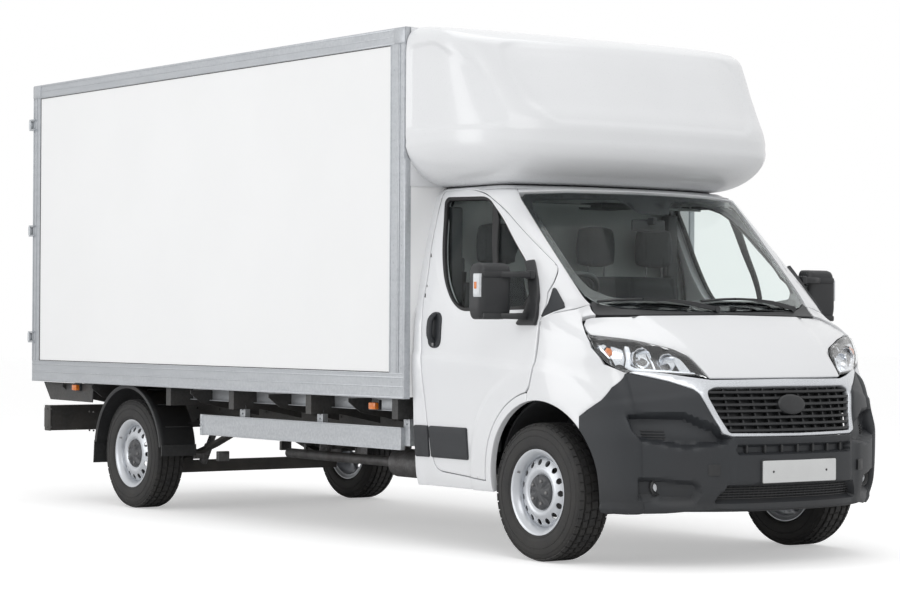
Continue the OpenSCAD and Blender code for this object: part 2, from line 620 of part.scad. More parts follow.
module rear_door_left() color(white) whole() rear_door();
module rear_door_right() mirror([1, 0, 0]) rear_door_left();

// ---- Wheels: profiles turn about the axle, measured outwards from the tyre centre ----
module on_wheel(x, s) translate([x, s, axle_z]) rotate([0, 90, 0]) children();
module tyre() rotate_extrude($fn = 96) polygon([[seat_d / 2, -87.5], [flange_d / 2 + 1, -95.5], [flange_d / 2 + 8, -104], [seat_d / 2 + 80, -tyre_w / 2],
    [tyre_d / 2 - 28, -tyre_w / 2 + 12], [tyre_d / 2 - 8, -tyre_w / 2 + 26], [tyre_d / 2, -tyre_w / 2 + 45],
    [tyre_d / 2, tyre_w / 2 - 45], [tyre_d / 2 - 8, tyre_w / 2 - 26], [tyre_d / 2 - 28, tyre_w / 2 - 12],
    [seat_d / 2 + 80, tyre_w / 2], [flange_d / 2 + 8, 104], [flange_d / 2 + 1, 95.5], [seat_d / 2, 87.5]]);
module rim() rotate_extrude($fn = 96) polygon([[flange_d / 2, -101], [flange_d / 2, -96], [seat_d / 2, -88],
    [seat_d / 2, 88], [flange_d / 2, 96], [flange_d / 2, 101], [seat_d / 2 - 6, 96], [seat_d / 2 - 6, 18],
    [172, 30], [150, 62], [118, 78], [85, 74], [80, 30], [stub_r + run_gap, 30], [stub_r + run_gap, 10],
    [88, 10], [96, 58], [118, 64], [140, 52], [160, 18], [seat_d / 2 - 6, 6], [seat_d / 2 - 6, -96]]);
module front_tyre_left() color(black) whole() on_wheel(front_x, 0) tyre();
module front_rim_left() color(alloy) whole() on_wheel(front_x, 0) rim();
module rear_tyre_left() color(black) whole() on_wheel(rear_x, wheelbase) tyre();
module rear_rim_left() color(alloy) whole() on_wheel(rear_x, wheelbase) rim();
module knuckle_left() color([0.4, 0.4, 0.42]) whole() {
    difference() {
        union() {
            block(pivot_x - 24, pivot_x + 24, -30, 30, 270, 465);
            translate([pivot_x, 0, axle_z]) rotate([0, 90, 0]) cylinder(front_x + 20 - pivot_x, r = stub_r);
        }
        translate([pivot_x, 0, 269]) cylinder(32, r = 12 + run_gap);
        translate([pivot_x, 0, 465 - 31]) cylinder(32, r = 12 + run_gap);
    }
}
module front_tyre_right() mirror([1, 0, 0]) front_tyre_left();
module front_rim_right() mirror([1, 0, 0]) front_rim_left();
module rear_tyre_right() mirror([1, 0, 0]) rear_tyre_left();
module rear_rim_right() mirror([1, 0, 0]) rear_rim_left();
module knuckle_right() mirror([1, 0, 0]) knuckle_left();

frame_rails();
frame_crossmembers();
floor_bearers();
front_subframe();
rear_axle();
engine_block();
fuel_tank();
exhaust();
cab_floor();
cab_shell();
front_wings();
front_bumper();
grille();
headlamps();
windscreen();
scuttle_panel();
dashboard();
steering_wheel();
driver_seat();
passenger_bench();
box_floor();
box_sides();
box_front_wall();
box_roof();
luton_pod();
box_frame();
side_guards();
rear_mudguards();
rear_bumper();
door_right();
door_glass_right();
mirror_right();
door_left();
door_glass_left();
mirror_left();
bonnet();
rear_door_right();
rear_door_left();
knuckle_right();
knuckle_left();
front_tyre_right();
front_rim_right();
front_tyre_left();
front_rim_left();
rear_tyre_right();
rear_rim_right();
rear_tyre_left();
rear_rim_left();
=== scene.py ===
import math

import bmesh
import bpy
import numpy as np
from mathutils import Matrix, Vector
from mathutils.geometry import delaunay_2d_cdt


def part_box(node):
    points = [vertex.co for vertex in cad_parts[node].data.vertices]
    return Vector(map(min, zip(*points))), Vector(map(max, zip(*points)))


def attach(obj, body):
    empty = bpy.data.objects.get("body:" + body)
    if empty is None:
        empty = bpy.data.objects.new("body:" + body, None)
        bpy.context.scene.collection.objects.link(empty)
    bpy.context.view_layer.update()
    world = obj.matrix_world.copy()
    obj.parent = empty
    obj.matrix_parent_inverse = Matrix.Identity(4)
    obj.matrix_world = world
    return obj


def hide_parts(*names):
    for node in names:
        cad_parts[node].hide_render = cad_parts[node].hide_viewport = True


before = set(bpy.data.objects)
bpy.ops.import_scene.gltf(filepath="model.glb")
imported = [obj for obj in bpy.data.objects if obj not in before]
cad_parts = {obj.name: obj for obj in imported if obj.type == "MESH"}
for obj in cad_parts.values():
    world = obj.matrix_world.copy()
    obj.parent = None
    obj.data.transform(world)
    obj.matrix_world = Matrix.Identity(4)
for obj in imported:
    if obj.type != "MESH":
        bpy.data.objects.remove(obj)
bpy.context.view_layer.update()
rimLow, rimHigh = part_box("front_rim_left")
midS = -(rimLow[1] + rimHigh[1]) * 500  # the origin's station; all sizes below are mm, s runs rearwards

frontX, rearX, axleZ, wheelbase = 898, 877, 370, 4500
boxFront, boxRear, boxHalf, boxBase, boxTop, roofEdge = 1115, 5780, 1090, 835, 2950, 2855


# Finishes.
def newGroup(name, inputs, outputs):
    tree = bpy.data.node_groups.new(name, "ShaderNodeTree")
    for label, kind, value in inputs:
        socket = tree.interface.new_socket(label, in_out="INPUT", socket_type="NodeSocket" + kind)
        if value is not None:
            socket.default_value = value
    for label, kind in outputs:
        tree.interface.new_socket(label, in_out="OUTPUT", socket_type="NodeSocket" + kind)
    return tree, tree.nodes.new("NodeGroupInput"), tree.nodes.new("NodeGroupOutput")


def noiseNode(tree, vector, scale, detail=3.0):
    node = tree.nodes.new("ShaderNodeTexNoise")
    node.inputs["Scale"].default_value = scale
    node.inputs["Detail"].default_value = detail
    tree.links.new(vector, node.inputs["Vector"])
    return node.outputs["Fac"]


def mathNode(tree, kind, first, second=None, clamp=False):
    node = tree.nodes.new("ShaderNodeMath")
    node.operation, node.use_clamp = kind, clamp
    for socket, value in zip(node.inputs, (first, second)):
        if value is None:
            continue
        if isinstance(value, (int, float)):
            socket.default_value = value
        else:
            tree.links.new(value, socket)
    return node.outputs[0]


def rangeNode(tree, value, low, high, outLow, outHigh):
    node = tree.nodes.new("ShaderNodeMapRange")
    for label, number in zip(("From Min", "From Max", "To Min", "To Max"), (low, high, outLow, outHigh)):
        node.inputs[label].default_value = number
    tree.links.new(value, node.inputs["Value"])
    return node.outputs["Result"]


def mixColour(tree, factor, first, second):
    node = tree.nodes.new("ShaderNodeMix")
    node.data_type = "RGBA"
    for socket, value in zip((node.inputs["Factor"], node.inputs["A"], node.inputs["B"]), (factor, first, second)):
        if isinstance(value, (int, float)):
            socket.default_value = value
        elif isinstance(value, tuple):
            socket.default_value = (*value, 1)
        else:
            tree.links.new(value, socket)
    return node.outputs["Result"]


def grainGroup():
    # two sizes of noise, stretched by Stretch, for colour drift and relief
    tree, start, end = newGroup("surfaceGrain", [("Stretch", "Vector", (1, 1, 1)), ("Drift Scale", "Float", 3.0),
                                ("Grain Scale", "Float", 400.0)], [("Drift", "Float"), ("Grain", "Float")])
    spot = tree.nodes.new("ShaderNodeTexCoord").outputs["Object"]
    scaled = tree.nodes.new("ShaderNodeVectorMath")
    scaled.operation = "MULTIPLY"
    tree.links.new(spot, scaled.inputs[0])
    tree.links.new(start.outputs["Stretch"], scaled.inputs[1])
    for label, out, detail in (("Drift Scale", "Drift", 4.0), ("Grain Scale", "Grain", 2.0)):
        node = tree.nodes.new("ShaderNodeTexNoise")
        node.inputs["Detail"].default_value = detail
        tree.links.new(scaled.outputs[0], node.inputs["Vector"])
        tree.links.new(start.outputs[label], node.inputs["Scale"])
        tree.links.new(node.outputs["Fac"], end.inputs[out])
    return tree


def dirtGroup():
    # road film that grows towards the ground and breaks up in patches
    tree, start, end = newGroup("roadFilm", [("Height", "Float", 0.9), ("Amount", "Float", 0.2)], [("Film", "Float")])
    spot = tree.nodes.new("ShaderNodeTexCoord").outputs["Object"]
    split = tree.nodes.new("ShaderNodeSeparateXYZ")
    tree.links.new(spot, split.inputs[0])
    low = mathNode(tree, "DIVIDE", split.outputs["Z"], start.outputs["Height"])
    fall = mathNode(tree, "SUBTRACT", 1.0, low, clamp=True)
    patch = rangeNode(tree, noiseNode(tree, spot, 5.0, 5.0), 0.35, 0.7, 0.4, 1.0)
    film = mathNode(tree, "MULTIPLY", mathNode(tree, "MULTIPLY", fall, patch), start.outputs["Amount"])
    tree.links.new(film, end.inputs["Film"])
    return tree


def wearGroup():
    # lighter or darker along convex edges
    tree, start, end = newGroup("edgeWear", [("Amount", "Float", 0.3)], [("Wear", "Float")])
    geometry = tree.nodes.new("ShaderNodeNewGeometry")
    edge = rangeNode(tree, geometry.outputs["Pointiness"], 0.52, 0.62, 0.0, 1.0)
    spot = tree.nodes.new("ShaderNodeTexCoord").outputs["Object"]
    broken = rangeNode(tree, noiseNode(tree, spot, 60.0, 4.0), 0.4, 0.65, 0.0, 1.0)
    wear = mathNode(tree, "MULTIPLY", mathNode(tree, "MULTIPLY", edge, broken), start.outputs["Amount"], clamp=True)
    tree.links.new(wear, end.inputs["Wear"])
    return tree


groups = {"grain": grainGroup(), "dirt": dirtGroup(), "wear": wearGroup()}


def useGroup(tree, name, **values):
    node = tree.nodes.new("ShaderNodeGroup")
    node.node_tree = groups[name]
    for label, value in values.items():
        node.inputs[label.replace("_", " ")].default_value = value
    return node


def finishOf(name, colour, second=None, rough=0.5, spread=0.08, metal=0.0, coat=0.0, stretch=(1, 1, 1),
             drift=3.0, grain=400.0, bump=0.1, bumpSize=0.0004, film=0.0, filmTop=0.9, wear=0.0, wearColour=None, glow=0.0):
    material = bpy.data.materials.new(name)
    material.use_nodes = True
    tree = material.node_tree
    shader = tree.nodes["Principled BSDF"]
    mix = useGroup(tree, "grain", Stretch=stretch, Drift_Scale=drift, Grain_Scale=grain)
    second = second or tuple(c * 0.88 for c in colour)
    shade = mixColour(tree, rangeNode(tree, mix.outputs["Drift"], 0.35, 0.7, 0.0, 1.0), colour, second)
    if film:
        dirt = useGroup(tree, "dirt", Height=filmTop, Amount=film)
        shade = mixColour(tree, dirt.outputs["Film"], shade, (0.23, 0.21, 0.18))
    if wear:
        worn = useGroup(tree, "wear", Amount=wear)
        shade = mixColour(tree, worn.outputs["Wear"], shade, wearColour or tuple(min(1, c * 2 + 0.05) for c in colour))
    tree.links.new(shade, shader.inputs["Base Color"])
    tree.links.new(rangeNode(tree, mix.outputs["Grain"], 0.3, 0.7, rough - spread / 2, rough + spread / 2),
        shader.inputs["Roughness"])
    shader.inputs["Metallic"].default_value = metal
    shader.inputs["Coat Weight"].default_value = coat
    shader.inputs["Coat Roughness"].default_value = 0.05
    if glow:
        tree.links.new(shade, shader.inputs["Emission Color"])
        shader.inputs["Emission Strength"].default_value = glow
    relief = tree.nodes.new("ShaderNodeBump")
    relief.inputs["Strength"].default_value = bump
    relief.inputs["Distance"].default_value = bumpSize
    tree.links.new(mix.outputs["Grain"], relief.inputs["Height"])
    tree.links.new(relief.outputs["Normal"], shader.inputs["Normal"])
    material.diffuse_color = (*colour, 1)
    return material


def glassOf(name, tint, shadow, rough=0.02, ior=1.45):
    material = bpy.data.materials.new(name)
    material.use_nodes = True
    tree = material.node_tree
    shader = tree.nodes["Principled BSDF"]
    shader.inputs["Transmission Weight"].default_value = 1.0
    shader.inputs["IOR"].default_value = ior
    mix = useGroup(tree, "grain", Drift_Scale=1.5, Grain_Scale=60.0)
    tree.links.new(mixColour(tree, mix.outputs["Drift"], tint, tuple(c * 0.96 for c in tint)), shader.inputs["Base Color"])
    tree.links.new(rangeNode(tree, mix.outputs["Grain"], 0.3, 0.7, rough, rough + 0.02), shader.inputs["Roughness"])
    path = tree.nodes.new("ShaderNodeLightPath")
    tree.links.new(rangeNode(tree, path.outputs["Is Shadow Ray"], 0.0, 1.0, 1.0, shadow), shader.inputs["Alpha"])
    material.diffuse_color = (*tint, 0.4)
    return material


paint = dict(rough=0.25, spread=0.05, coat=0.5, drift=1.2, grain=900, bump=0.03, bumpSize=0.0002)
mats = {
    "white": finishOf("bodyWhite", (0.80, 0.81, 0.825), (0.78, 0.79, 0.81), film=0.10, filmTop=0.8, **paint),
    "panel": finishOf("panelWhite", (0.87, 0.875, 0.88), (0.855, 0.86, 0.865), rough=0.38, spread=0.1, drift=1.5,
                      grain=220, bump=0.08, bumpSize=0.0005, film=0.03, filmTop=1.6),
    "moulded": finishOf("podWhite", (0.77, 0.78, 0.795), (0.75, 0.76, 0.775), rough=0.3, spread=0.06, coat=0.3, drift=2,
        grain=150, bump=0.05, bumpSize=0.0006),
    "alloy": finishOf("anodisedRail", (0.47, 0.49, 0.515), (0.43, 0.45, 0.475), rough=0.40, spread=0.12, metal=0.45,
                      stretch=(6, 1, 6), drift=4, grain=500, bump=0.08, film=0.08, filmTop=1.2, wear=0.15),
    "rivet": finishOf("rivetHead", (0.42, 0.44, 0.46), rough=0.35, metal=0.8, grain=700, wear=0.3),
    "chassis": finishOf("chassisBlack", (0.022, 0.023, 0.025), (0.035, 0.034, 0.033), rough=0.55, spread=0.2, drift=8,
                        grain=300, bump=0.25, bumpSize=0.0008, film=0.45, filmTop=1.0, wear=0.25),
    "metal": finishOf("castMetal", (0.19, 0.19, 0.195), (0.10, 0.10, 0.105), rough=0.5, spread=0.2, metal=0.7, drift=14,
                      grain=250, bump=0.4, bumpSize=0.001, film=0.4, filmTop=1.0, wear=0.3),
    "grey": finishOf("bumperGrey", (0.021, 0.024, 0.028), (0.018, 0.020, 0.024), rough=0.58, spread=0.12, drift=5,
                     grain=1100, bump=0.35, bumpSize=0.0005, film=0.10, filmTop=0.7, wear=0.15),
    "black": finishOf("trimBlack", (0.017, 0.018, 0.020), (0.024, 0.025, 0.027), rough=0.5, spread=0.14, drift=6,
                      grain=900, bump=0.3, film=0.12, filmTop=0.7, wear=0.15),
    "gloss": finishOf("frit", (0.012, 0.013, 0.015), rough=0.12, spread=0.05, coat=0.4, grain=500, bump=0.02),
    "silver": finishOf("grilleSurround", (0.62, 0.64, 0.67), (0.56, 0.58, 0.61), rough=0.28, metal=0.6, coat=0.4, grain=700,
        bump=0.05, film=0.08),
    "chrome": finishOf("bowlBright", (0.82, 0.84, 0.87), (0.7, 0.72, 0.76), rough=0.12, spread=0.08, metal=1.0, drift=12,
        bump=0.03),
    "white light": finishOf("runningLight", (0.86, 0.89, 0.93), (0.8, 0.83, 0.88), rough=0.2, glow=0.15, grain=300,
        bump=0.05),
    "orange": finishOf("markerOrange", (0.75, 0.20, 0.02), (0.60, 0.14, 0.012), rough=0.2, coat=0.5, drift=30, grain=240,
        bump=0.3, bumpSize=0.001),
    "red": finishOf("lensRed", (0.42, 0.012, 0.012), (0.30, 0.008, 0.008), rough=0.18, coat=0.5, drift=30, grain=240,
        bump=0.3, bumpSize=0.001),
    "lens": finishOf("lensClear", (0.62, 0.64, 0.66), (0.5, 0.52, 0.54), rough=0.15, coat=0.5, drift=30, grain=240,
        bump=0.35, bumpSize=0.001),
    "rubber": finishOf("tyreRubber", (0.017, 0.017, 0.018), (0.026, 0.025, 0.024), rough=0.72, spread=0.16, drift=9,
        grain=420,
                       bump=0.35, bumpSize=0.0006, film=0.06, wear=0.1),
    "seal": finishOf("sealRubber", (0.011, 0.011, 0.012), rough=0.62, spread=0.12, grain=600, bump=0.2),
    "wheel": finishOf("wheelSilver", (0.58, 0.60, 0.63), (0.50, 0.52, 0.55), rough=0.35, spread=0.1, metal=0.55, coat=0.2,
        drift=7, grain=500, bump=0.06, wear=0.12),
    "cap": finishOf("wheelCap", (0.055, 0.057, 0.062), rough=0.42, spread=0.1, grain=800, bump=0.2, wear=0.15),
    "plate": finishOf("blankPlate", (0.74, 0.75, 0.75), rough=0.3, coat=0.3, grain=900, bump=0.04, film=0.1),
    "dash": finishOf("dashPlastic", (0.055, 0.060, 0.062), (0.045, 0.05, 0.052), rough=0.6, drift=4, grain=1000, bump=0.35),
    "lining": finishOf("cabLining", (0.36, 0.38, 0.375), (0.33, 0.35, 0.345), rough=0.75, drift=3, grain=800, bump=0.25),
    "mat": finishOf("floorMat", (0.03, 0.031, 0.033), rough=0.8, drift=6, grain=500, bump=0.5, stretch=(1, 8, 1)),
    "ply": finishOf("floorPly", (0.16, 0.115, 0.075), (0.10, 0.07, 0.045), rough=0.6, spread=0.2, drift=3, grain=300,
                    bump=0.3, stretch=(7, 1, 7)),
    "tinted": glassOf("tintedGlass", (0.91, 0.95, 0.94), 0.72, ior=1.14),
    "cover": glassOf("lampCover", (0.97, 0.98, 0.985), 0.15),
}


def weaveFinish(name, colour, thread):
    # fine checked weave from two crossed waves over a soft drift
    material = finishOf(name, colour, tuple(c * 0.8 for c in colour), rough=0.9, spread=0.08, drift=7, grain=1500, bump=0.2)
    tree = material.node_tree
    shader = tree.nodes["Principled BSDF"]
    spot = tree.nodes.new("ShaderNodeTexCoord").outputs["Object"]
    waves = []
    for direction in ("X", "Z"):
        wave = tree.nodes.new("ShaderNodeTexWave")
        wave.bands_direction = direction
        wave.inputs["Scale"].default_value = thread
        wave.inputs["Distortion"].default_value = 1.2
        tree.links.new(spot, wave.inputs["Vector"])
        waves.append(wave.outputs["Fac"])
    weave = mathNode(tree, "MULTIPLY", *waves)
    relief = tree.nodes.new("ShaderNodeBump")
    relief.inputs["Strength"].default_value = 0.15
    relief.inputs["Distance"].default_value = 0.0003
    tree.links.new(weave, relief.inputs["Height"])
    tree.links.new(relief.outputs["Normal"], shader.inputs["Normal"])
    shader.inputs["Sheen Weight"].default_value = 0.06
    return material


mats["cloth"] = weaveFinish("seatCloth", (0.030, 0.034, 0.038), 160)
print("finishes made")


# Mesh helpers; every shape is added to a bmesh in mm stations, and closed by finish.
def place(bm, shape, matIndex=0):
    # adds the vertices and faces of shape = (points, faces)
    points, faces = shape
    verts = [bm.verts.new(p) for p in points]
    made = []
    for f in faces:
        try:
            face = bm.faces.new([verts[i] for i in f])
        except ValueError:
            continue
        face.material_index = matIndex
        made.append(face)
    return verts, made


def finish(bm, name, materials, body, smooth=35, both=False, normals=True, replace=()):
    if both:
        original = list(bm.verts) + list(bm.edges) + list(bm.faces)
        copy = bmesh.ops.duplicate(bm, geom=original)["geom"]
        for item in copy:
            if isinstance(item, bmesh.types.BMVert):
                item.co.x = -item.co.x
        bmesh.ops.reverse_faces(bm, faces=[f for f in copy if isinstance(f, bmesh.types.BMFace)])
    for v in bm.verts:
        v.co = Vector((v.co.x / 1000, (v.co.y - midS) / 1000, v.co.z / 1000))
    if normals:
        bmesh.ops.recalc_face_normals(bm, faces=bm.faces)
    mesh = bpy.data.meshes.new(name)
    bm.to_mesh(mesh)
    bm.free()
    mesh.shade_smooth()
    mesh.set_sharp_from_angle(angle=math.radians(smooth))
    for key in (materials if isinstance(materials, (list, tuple)) else [materials]):
        mesh.materials.append(mats[key])
    piece = bpy.data.objects.new(name, mesh)
    bpy.context.scene.collection.objects.link(piece)
    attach(piece, body)
    if replace:
        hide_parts(*replace)
    return piece


def block(bm, x0, x1, s0, s1, z0, z1, bevel=2.0, mat=0, turn=None):
    # a bevelled bar; turn = (angle about x through its middle)
    middle = Vector(((x0 + x1) / 2, (s0 + s1) / 2, (z0 + z1) / 2))
    matrix = Matrix.Translation(middle)
    if turn:
        matrix = matrix @ Matrix.Rotation(math.radians(turn[1]), 4, turn[0])
    matrix = matrix @ Matrix.Diagonal((x1 - x0, s1 - s0, z1 - z0, 1))
    geom = bmesh.ops.create_cube(bm, size=1, matrix=matrix)["verts"]
    faces = {f for v in geom for f in v.link_faces}
    for f in faces:
        f.material_index = mat
    if bevel:
        edges = list({e for v in geom for e in v.link_edges})
        bevel = min(bevel, 0.45 * min(abs(x1 - x0), abs(s1 - s0), abs(z1 - z0)))
        for f in bmesh.ops.bevel(bm, geom=edges, offset=bevel, segments=2, profile=0.5, affect="EDGES")["faces"]:
            f.material_index = mat


def loft(bm, rings, mat=0, closed=True, caps=True):
    # joins rings of equal length; closed says that each ring is a loop
    verts = [[bm.verts.new(p) for p in ring] for ring in rings]
    count = len(rings[0])
    for a, b in zip(verts, verts[1:]):
        for j in range(count if closed else count - 1):
            k = (j + 1) % count
            if (a[j].co - a[k].co).length < 1e-6 or (b[j].co - b[k].co).length < 1e-6:
                corners = [a[j], a[k], b[j]] if (b[j].co - b[k].co).length < 1e-6 else [a[j], b[k], b[j]]
            else:
                corners = [a[j], a[k], b[k], b[j]]
            bm.faces.new(corners).material_index = mat
    if caps:
        for ring in (verts[0], verts[-1]):
            bm.faces.new(ring).material_index = mat


def lathe(bm, profile, centre, axis="x", count=48, mat=0, closed=True, start=0.0, sweep=360.0):
    # profile = [(radius, distance along the axis)]; a closed profile makes a ring
    cx, cs, cz = centre
    rings = []
    steps = count if sweep == 360 else count + 1
    for k in range(steps):
        a = math.radians(start + sweep * k / count)
        ring = []
        for r, t in profile:
            u, v = r * math.cos(a), r * math.sin(a)
            ring.append({"x": (cx + t, cs + u, cz + v), "s": (cx + u, cs + t, cz + v), "z": (cx + u, cs + v, cz + t)}[axis])
        rings.append(ring)
    if sweep == 360:
        rings.append(rings[0])
    verts = [[bm.verts.new(p) for p in ring] for ring in (rings[:-1] if sweep == 360 else rings)]
    if sweep == 360:
        verts.append(verts[0])
    n = len(profile)
    for a, b in zip(verts, verts[1:]):
        for j in range(n if closed else n - 1):
            k = (j + 1) % n
            try:
                bm.faces.new([a[j], a[k], b[k], b[j]]).material_index = mat
            except ValueError:
                pass
    if not closed:
        bmesh.ops.remove_doubles(bm, verts=[v for ring in verts[:-1] for v in (ring[0], ring[-1])], dist=1e-4)


def tube(bm, path, radius, count=10, mat=0):
    # a round bar along points
    path = [Vector(p) for p in path]
    rings = []
    side = None
    for i, p in enumerate(path):
        along = (path[min(i + 1, len(path) - 1)] - path[max(i - 1, 0)]).normalized()
        if side is None:
            side = along.orthogonal().normalized()
        side = (side - along * side.dot(along)).normalized()
        other = along.cross(side)
        rings.append([tuple(p + radius * (side * math.cos(t) + other * math.sin(t)))
                      for t in (2 * math.pi * k / count for k in range(count))])
    loft(bm, rings, mat)


def bend(path, radius, steps=6):
    # rounds the corners of an open path
    out = [Vector(path[0])]
    for a, b, c in zip(path, path[1:], path[2:]):
        a, b, c = Vector(a), Vector(b), Vector(c)
        d = min(radius, (a - b).length / 2, (c - b).length / 2)
        p, q = b + (a - b).normalized() * d, b + (c - b).normalized() * d
        out += [(1 - t) ** 2 * p + 2 * t * (1 - t) * b + t * t * q for t in (k / steps for k in range(steps + 1))]
    return out + [Vector(path[-1])]


def roundLoop(points, radius, steps=5):
    # rounds the corners of a closed outline in the plane; a third number on a point overrides the radius
    out = []
    n = len(points)
    for i, point in enumerate(points):
        a, b, c = (Vector(points[j % n][:2]) for j in (i - 1, i, i + 1))
        r = point[2] if len(point) > 2 else radius
        d = min(r, (a - b).length * 0.48, (c - b).length * 0.48)
        if d < 0.5:
            out.append(b)
            continue
        p, q = b + (a - b).normalized() * d, b + (c - b).normalized() * d
        out += [(1 - t) ** 2 * p + 2 * t * (1 - t) * b + t * t * q for t in (k / steps for k in range(steps + 1))]
    return [(p.x, p.y) for p in out]


def dense(points, step):
    out = []
    for a, b in zip(points, points[1:] + points[:1]):
        gap = math.dist(a, b)
        if gap < 0.3:
            continue
        parts = max(1, round(gap / step))
        out += [(a[0] + (b[0] - a[0]) * k / parts, a[1] + (b[1] - a[1]) * k / parts) for k in range(parts)]
    return out


def areaOf(points):
    return sum(a[0] * b[1] - b[0] * a[1] for a, b in zip(points, points[1:] + points[:1])) / 2


def grow(points, distance):
    # moves a closed outline outwards (inwards if negative)
    sign = 1 if areaOf(points) > 0 else -1
    out = []
    n = len(points)
    for i in range(n):
        a, b, c = points[i - 1], points[i], points[(i + 1) % n]
        d1, d2 = math.dist(a, b) or 1, math.dist(b, c) or 1
        n1 = ((b[1] - a[1]) / d1, -(b[0] - a[0]) / d1)
        n2 = ((c[1] - b[1]) / d2, -(c[0] - b[0]) / d2)
        m = (n1[0] + n2[0], n1[1] + n2[1])
        length = m[0] ** 2 + m[1] ** 2
        k = 2 / max(length, 1.2)
        out.append((b[0] + sign * distance * m[0] * k, b[1] + sign * distance * m[1] * k))
    return out


def signedDistances(loop, points):
    # distance of each point to the outline, positive inside it
    a, points = np.array(loop, float), np.array(points, float)
    b = np.roll(a, -1, 0)
    d = b - a
    rise = np.where(d[:, 1] == 0, 1, d[:, 1])
    out = []
    for first in range(0, len(points), 1500):
        p = points[first:first + 1500][:, None, :]
        rel = p - a
        t = np.clip((rel * d).sum(-1) / np.maximum((d * d).sum(-1), 1e-9), 0, 1)
        gap = np.sqrt(((rel - t[..., None] * d) ** 2).sum(-1)).min(1)
        crossed = ((a[:, 1] > p[..., 1]) != (b[:, 1] > p[..., 1])) & (p[..., 0] < d[:, 0] * rel[..., 1] / rise + a[:, 0])
        out.append(np.where(crossed.sum(1) % 2 == 1, gap, -gap))
    return np.concatenate(out) if out else np.array([])


def edgeDistance(points, x, y):
    return float(signedDistances(points, [(x, y)])[0])


def smoothStep(value):
    t = max(0.0, min(1.0, value))
    return t * t * (3 - 2 * t)


# The cab's outer surface: rows of height, half width, face edge, nose, bow, and where the flat side starts.
cabRows = [[260, 930, 760, -890, 290, -20], [340, 985, 806, -928, 295, -10], [430, 1000, 822, -948, 298, 0],
           [520, 1006, 828, -950, 298, 0], [677, 1018, 832, -947, 298, 0], [800, 1022, 834, -910, 298, 0],
           [900, 1025, 834, -885, 298, 0], [985, 1025, 830, -842, 298, 0], [1020, 1025, 840, -810, 290, 0],
           [1060, 1025, 856, -765, 262, 0], [1100, 1024, 875, -715, 226, 0], [1150, 1023, 898, -648, 200, 0],
           [1200, 1021, 920, -575, 182, 0], [1250, 1018, 916, -495, 180, 0], [1300, 1013, 880, -410, 178, 0],
           [1340, 1008, 838, -352, 160, 10], [1375, 1003, 803, -312, 132, 30], [1500, 984, 800, -185, 131, 130],
           [1700, 944, 799, 18, 130, 335], [1850, 908, 797, 170, 130, 480], [1980, 870, 794, 302, 130, 610],
           [2010, 856, 786, 334, 130, 636], [2030, 834, 764, 378, 128, 655], [2045, 778, 700, 470, 110, 680]]
bowPower, faceU = 2.7, 800.0


def smoothTable(rows):
    # monotone cubic through the rows, tabled every 5 mm
    xs = [r[0] for r in rows]
    columns = []
    for k in range(1, len(rows[0])):
        ys = [r[k] for r in rows]
        d = [(ys[i + 1] - ys[i]) / (xs[i + 1] - xs[i]) for i in range(len(xs) - 1)]
        m = [d[0]] + [0 if a * b <= 0 else 2 * a * b / (a + b) for a, b in zip(d, d[1:])] + [d[-1]]
        columns.append((ys, m))
    table = []
    i = 0
    for z in range(xs[0], xs[-1] + 1, 5):
        while i < len(xs) - 2 and z > xs[i + 1]:
            i += 1
        h = xs[i + 1] - xs[i]
        t = (z - xs[i]) / h
        table.append([(2 * t ** 3 - 3 * t ** 2 + 1) * ys[i] + (t ** 3 - 2 * t ** 2 + t) * h * m[i]
                      + (3 * t ** 2 - 2 * t ** 3) * ys[i + 1] + (t ** 3 - t ** 2) * h * m[i + 1] for ys, m in columns])
    return xs[0], table


cabTable = smoothTable(cabRows)


def lookUp(table, z):
    low, rows = table
    t = max(0, min(len(rows) - 1.001, (z - low) / 5))
    i = int(t)
    return [a + (b - a) * (t - i) for a, b in zip(rows[i], rows[i + 1])]


def bareSurface(girth, z):
    w, e, f, b, q = lookUp(cabTable, z)
    d, u = (-1 if girth < 0 else 1), abs(girth) / faceU
    if u <= 1:
        return Vector((d * e * u, f + b * u ** bowPower, z))
    if u <= 2:
        a = (u - 1) * math.pi / 2
        return Vector((d * (e + (w - e) * math.sin(a)), f + b + (q - f - b) * (1 - math.cos(a)), z))
    return Vector((d * w, q + (u - 2) * faceU, z))


def fromFront(x, z):
    w, e = lookUp(cabTable, z)[:2]
    a = abs(x)
    u = a / e if a <= e else 1 + math.asin(min(1, (a - e) / (w - e))) / (math.pi / 2)
    return (math.copysign(u * faceU, x), z)


def fromSide(s, z):
    f, b, q = lookUp(cabTable, z)[2:]
    if s >= q:
        return (2 * faceU + s - q, z)
    if s >= f + b:
        return (faceU * (1 + math.acos(1 - (s - f - b) / (q - f - b)) / (math.pi / 2)), z)
    return (faceU * (max(0, s - f) / b) ** (1 / bowPower), z)


def outward(girth, z):
    du = bareSurface(girth + 2, z) - bareSurface(girth - 2, z)
    dz = bareSurface(girth, min(z + 2, 2044.9)) - bareSurface(girth, z - 2)
    n = du.cross(dz)
    return (n if n.dot(bareSurface(girth, z) - Vector((0, 900, z))) > 0 else -n).normalized()


def bodyRelief(girth, z, p):
    # flare round the wheel arch, the crease below the waist, the step on the rear pillar
    out = 0.0
    if abs(girth) > 900:
        r = math.hypot(p.y + 30, z - 430)
        out = 9 * smoothStep((640 - r) / 40) * smoothStep((abs(girth) - 900) / 300)
        top = 1052 + (p.y - 54) * 0.059
        if p.y > -40:
            crease = smoothStep((top - z) / 30) * smoothStep((z - 840) / 170) * smoothStep((p.y + 40) / 90)
            out = max(out, 8 * crease)
        out += 6 * smoothStep((p.y - 1058) / 6) * smoothStep((1362 - z) / 12)
    return out


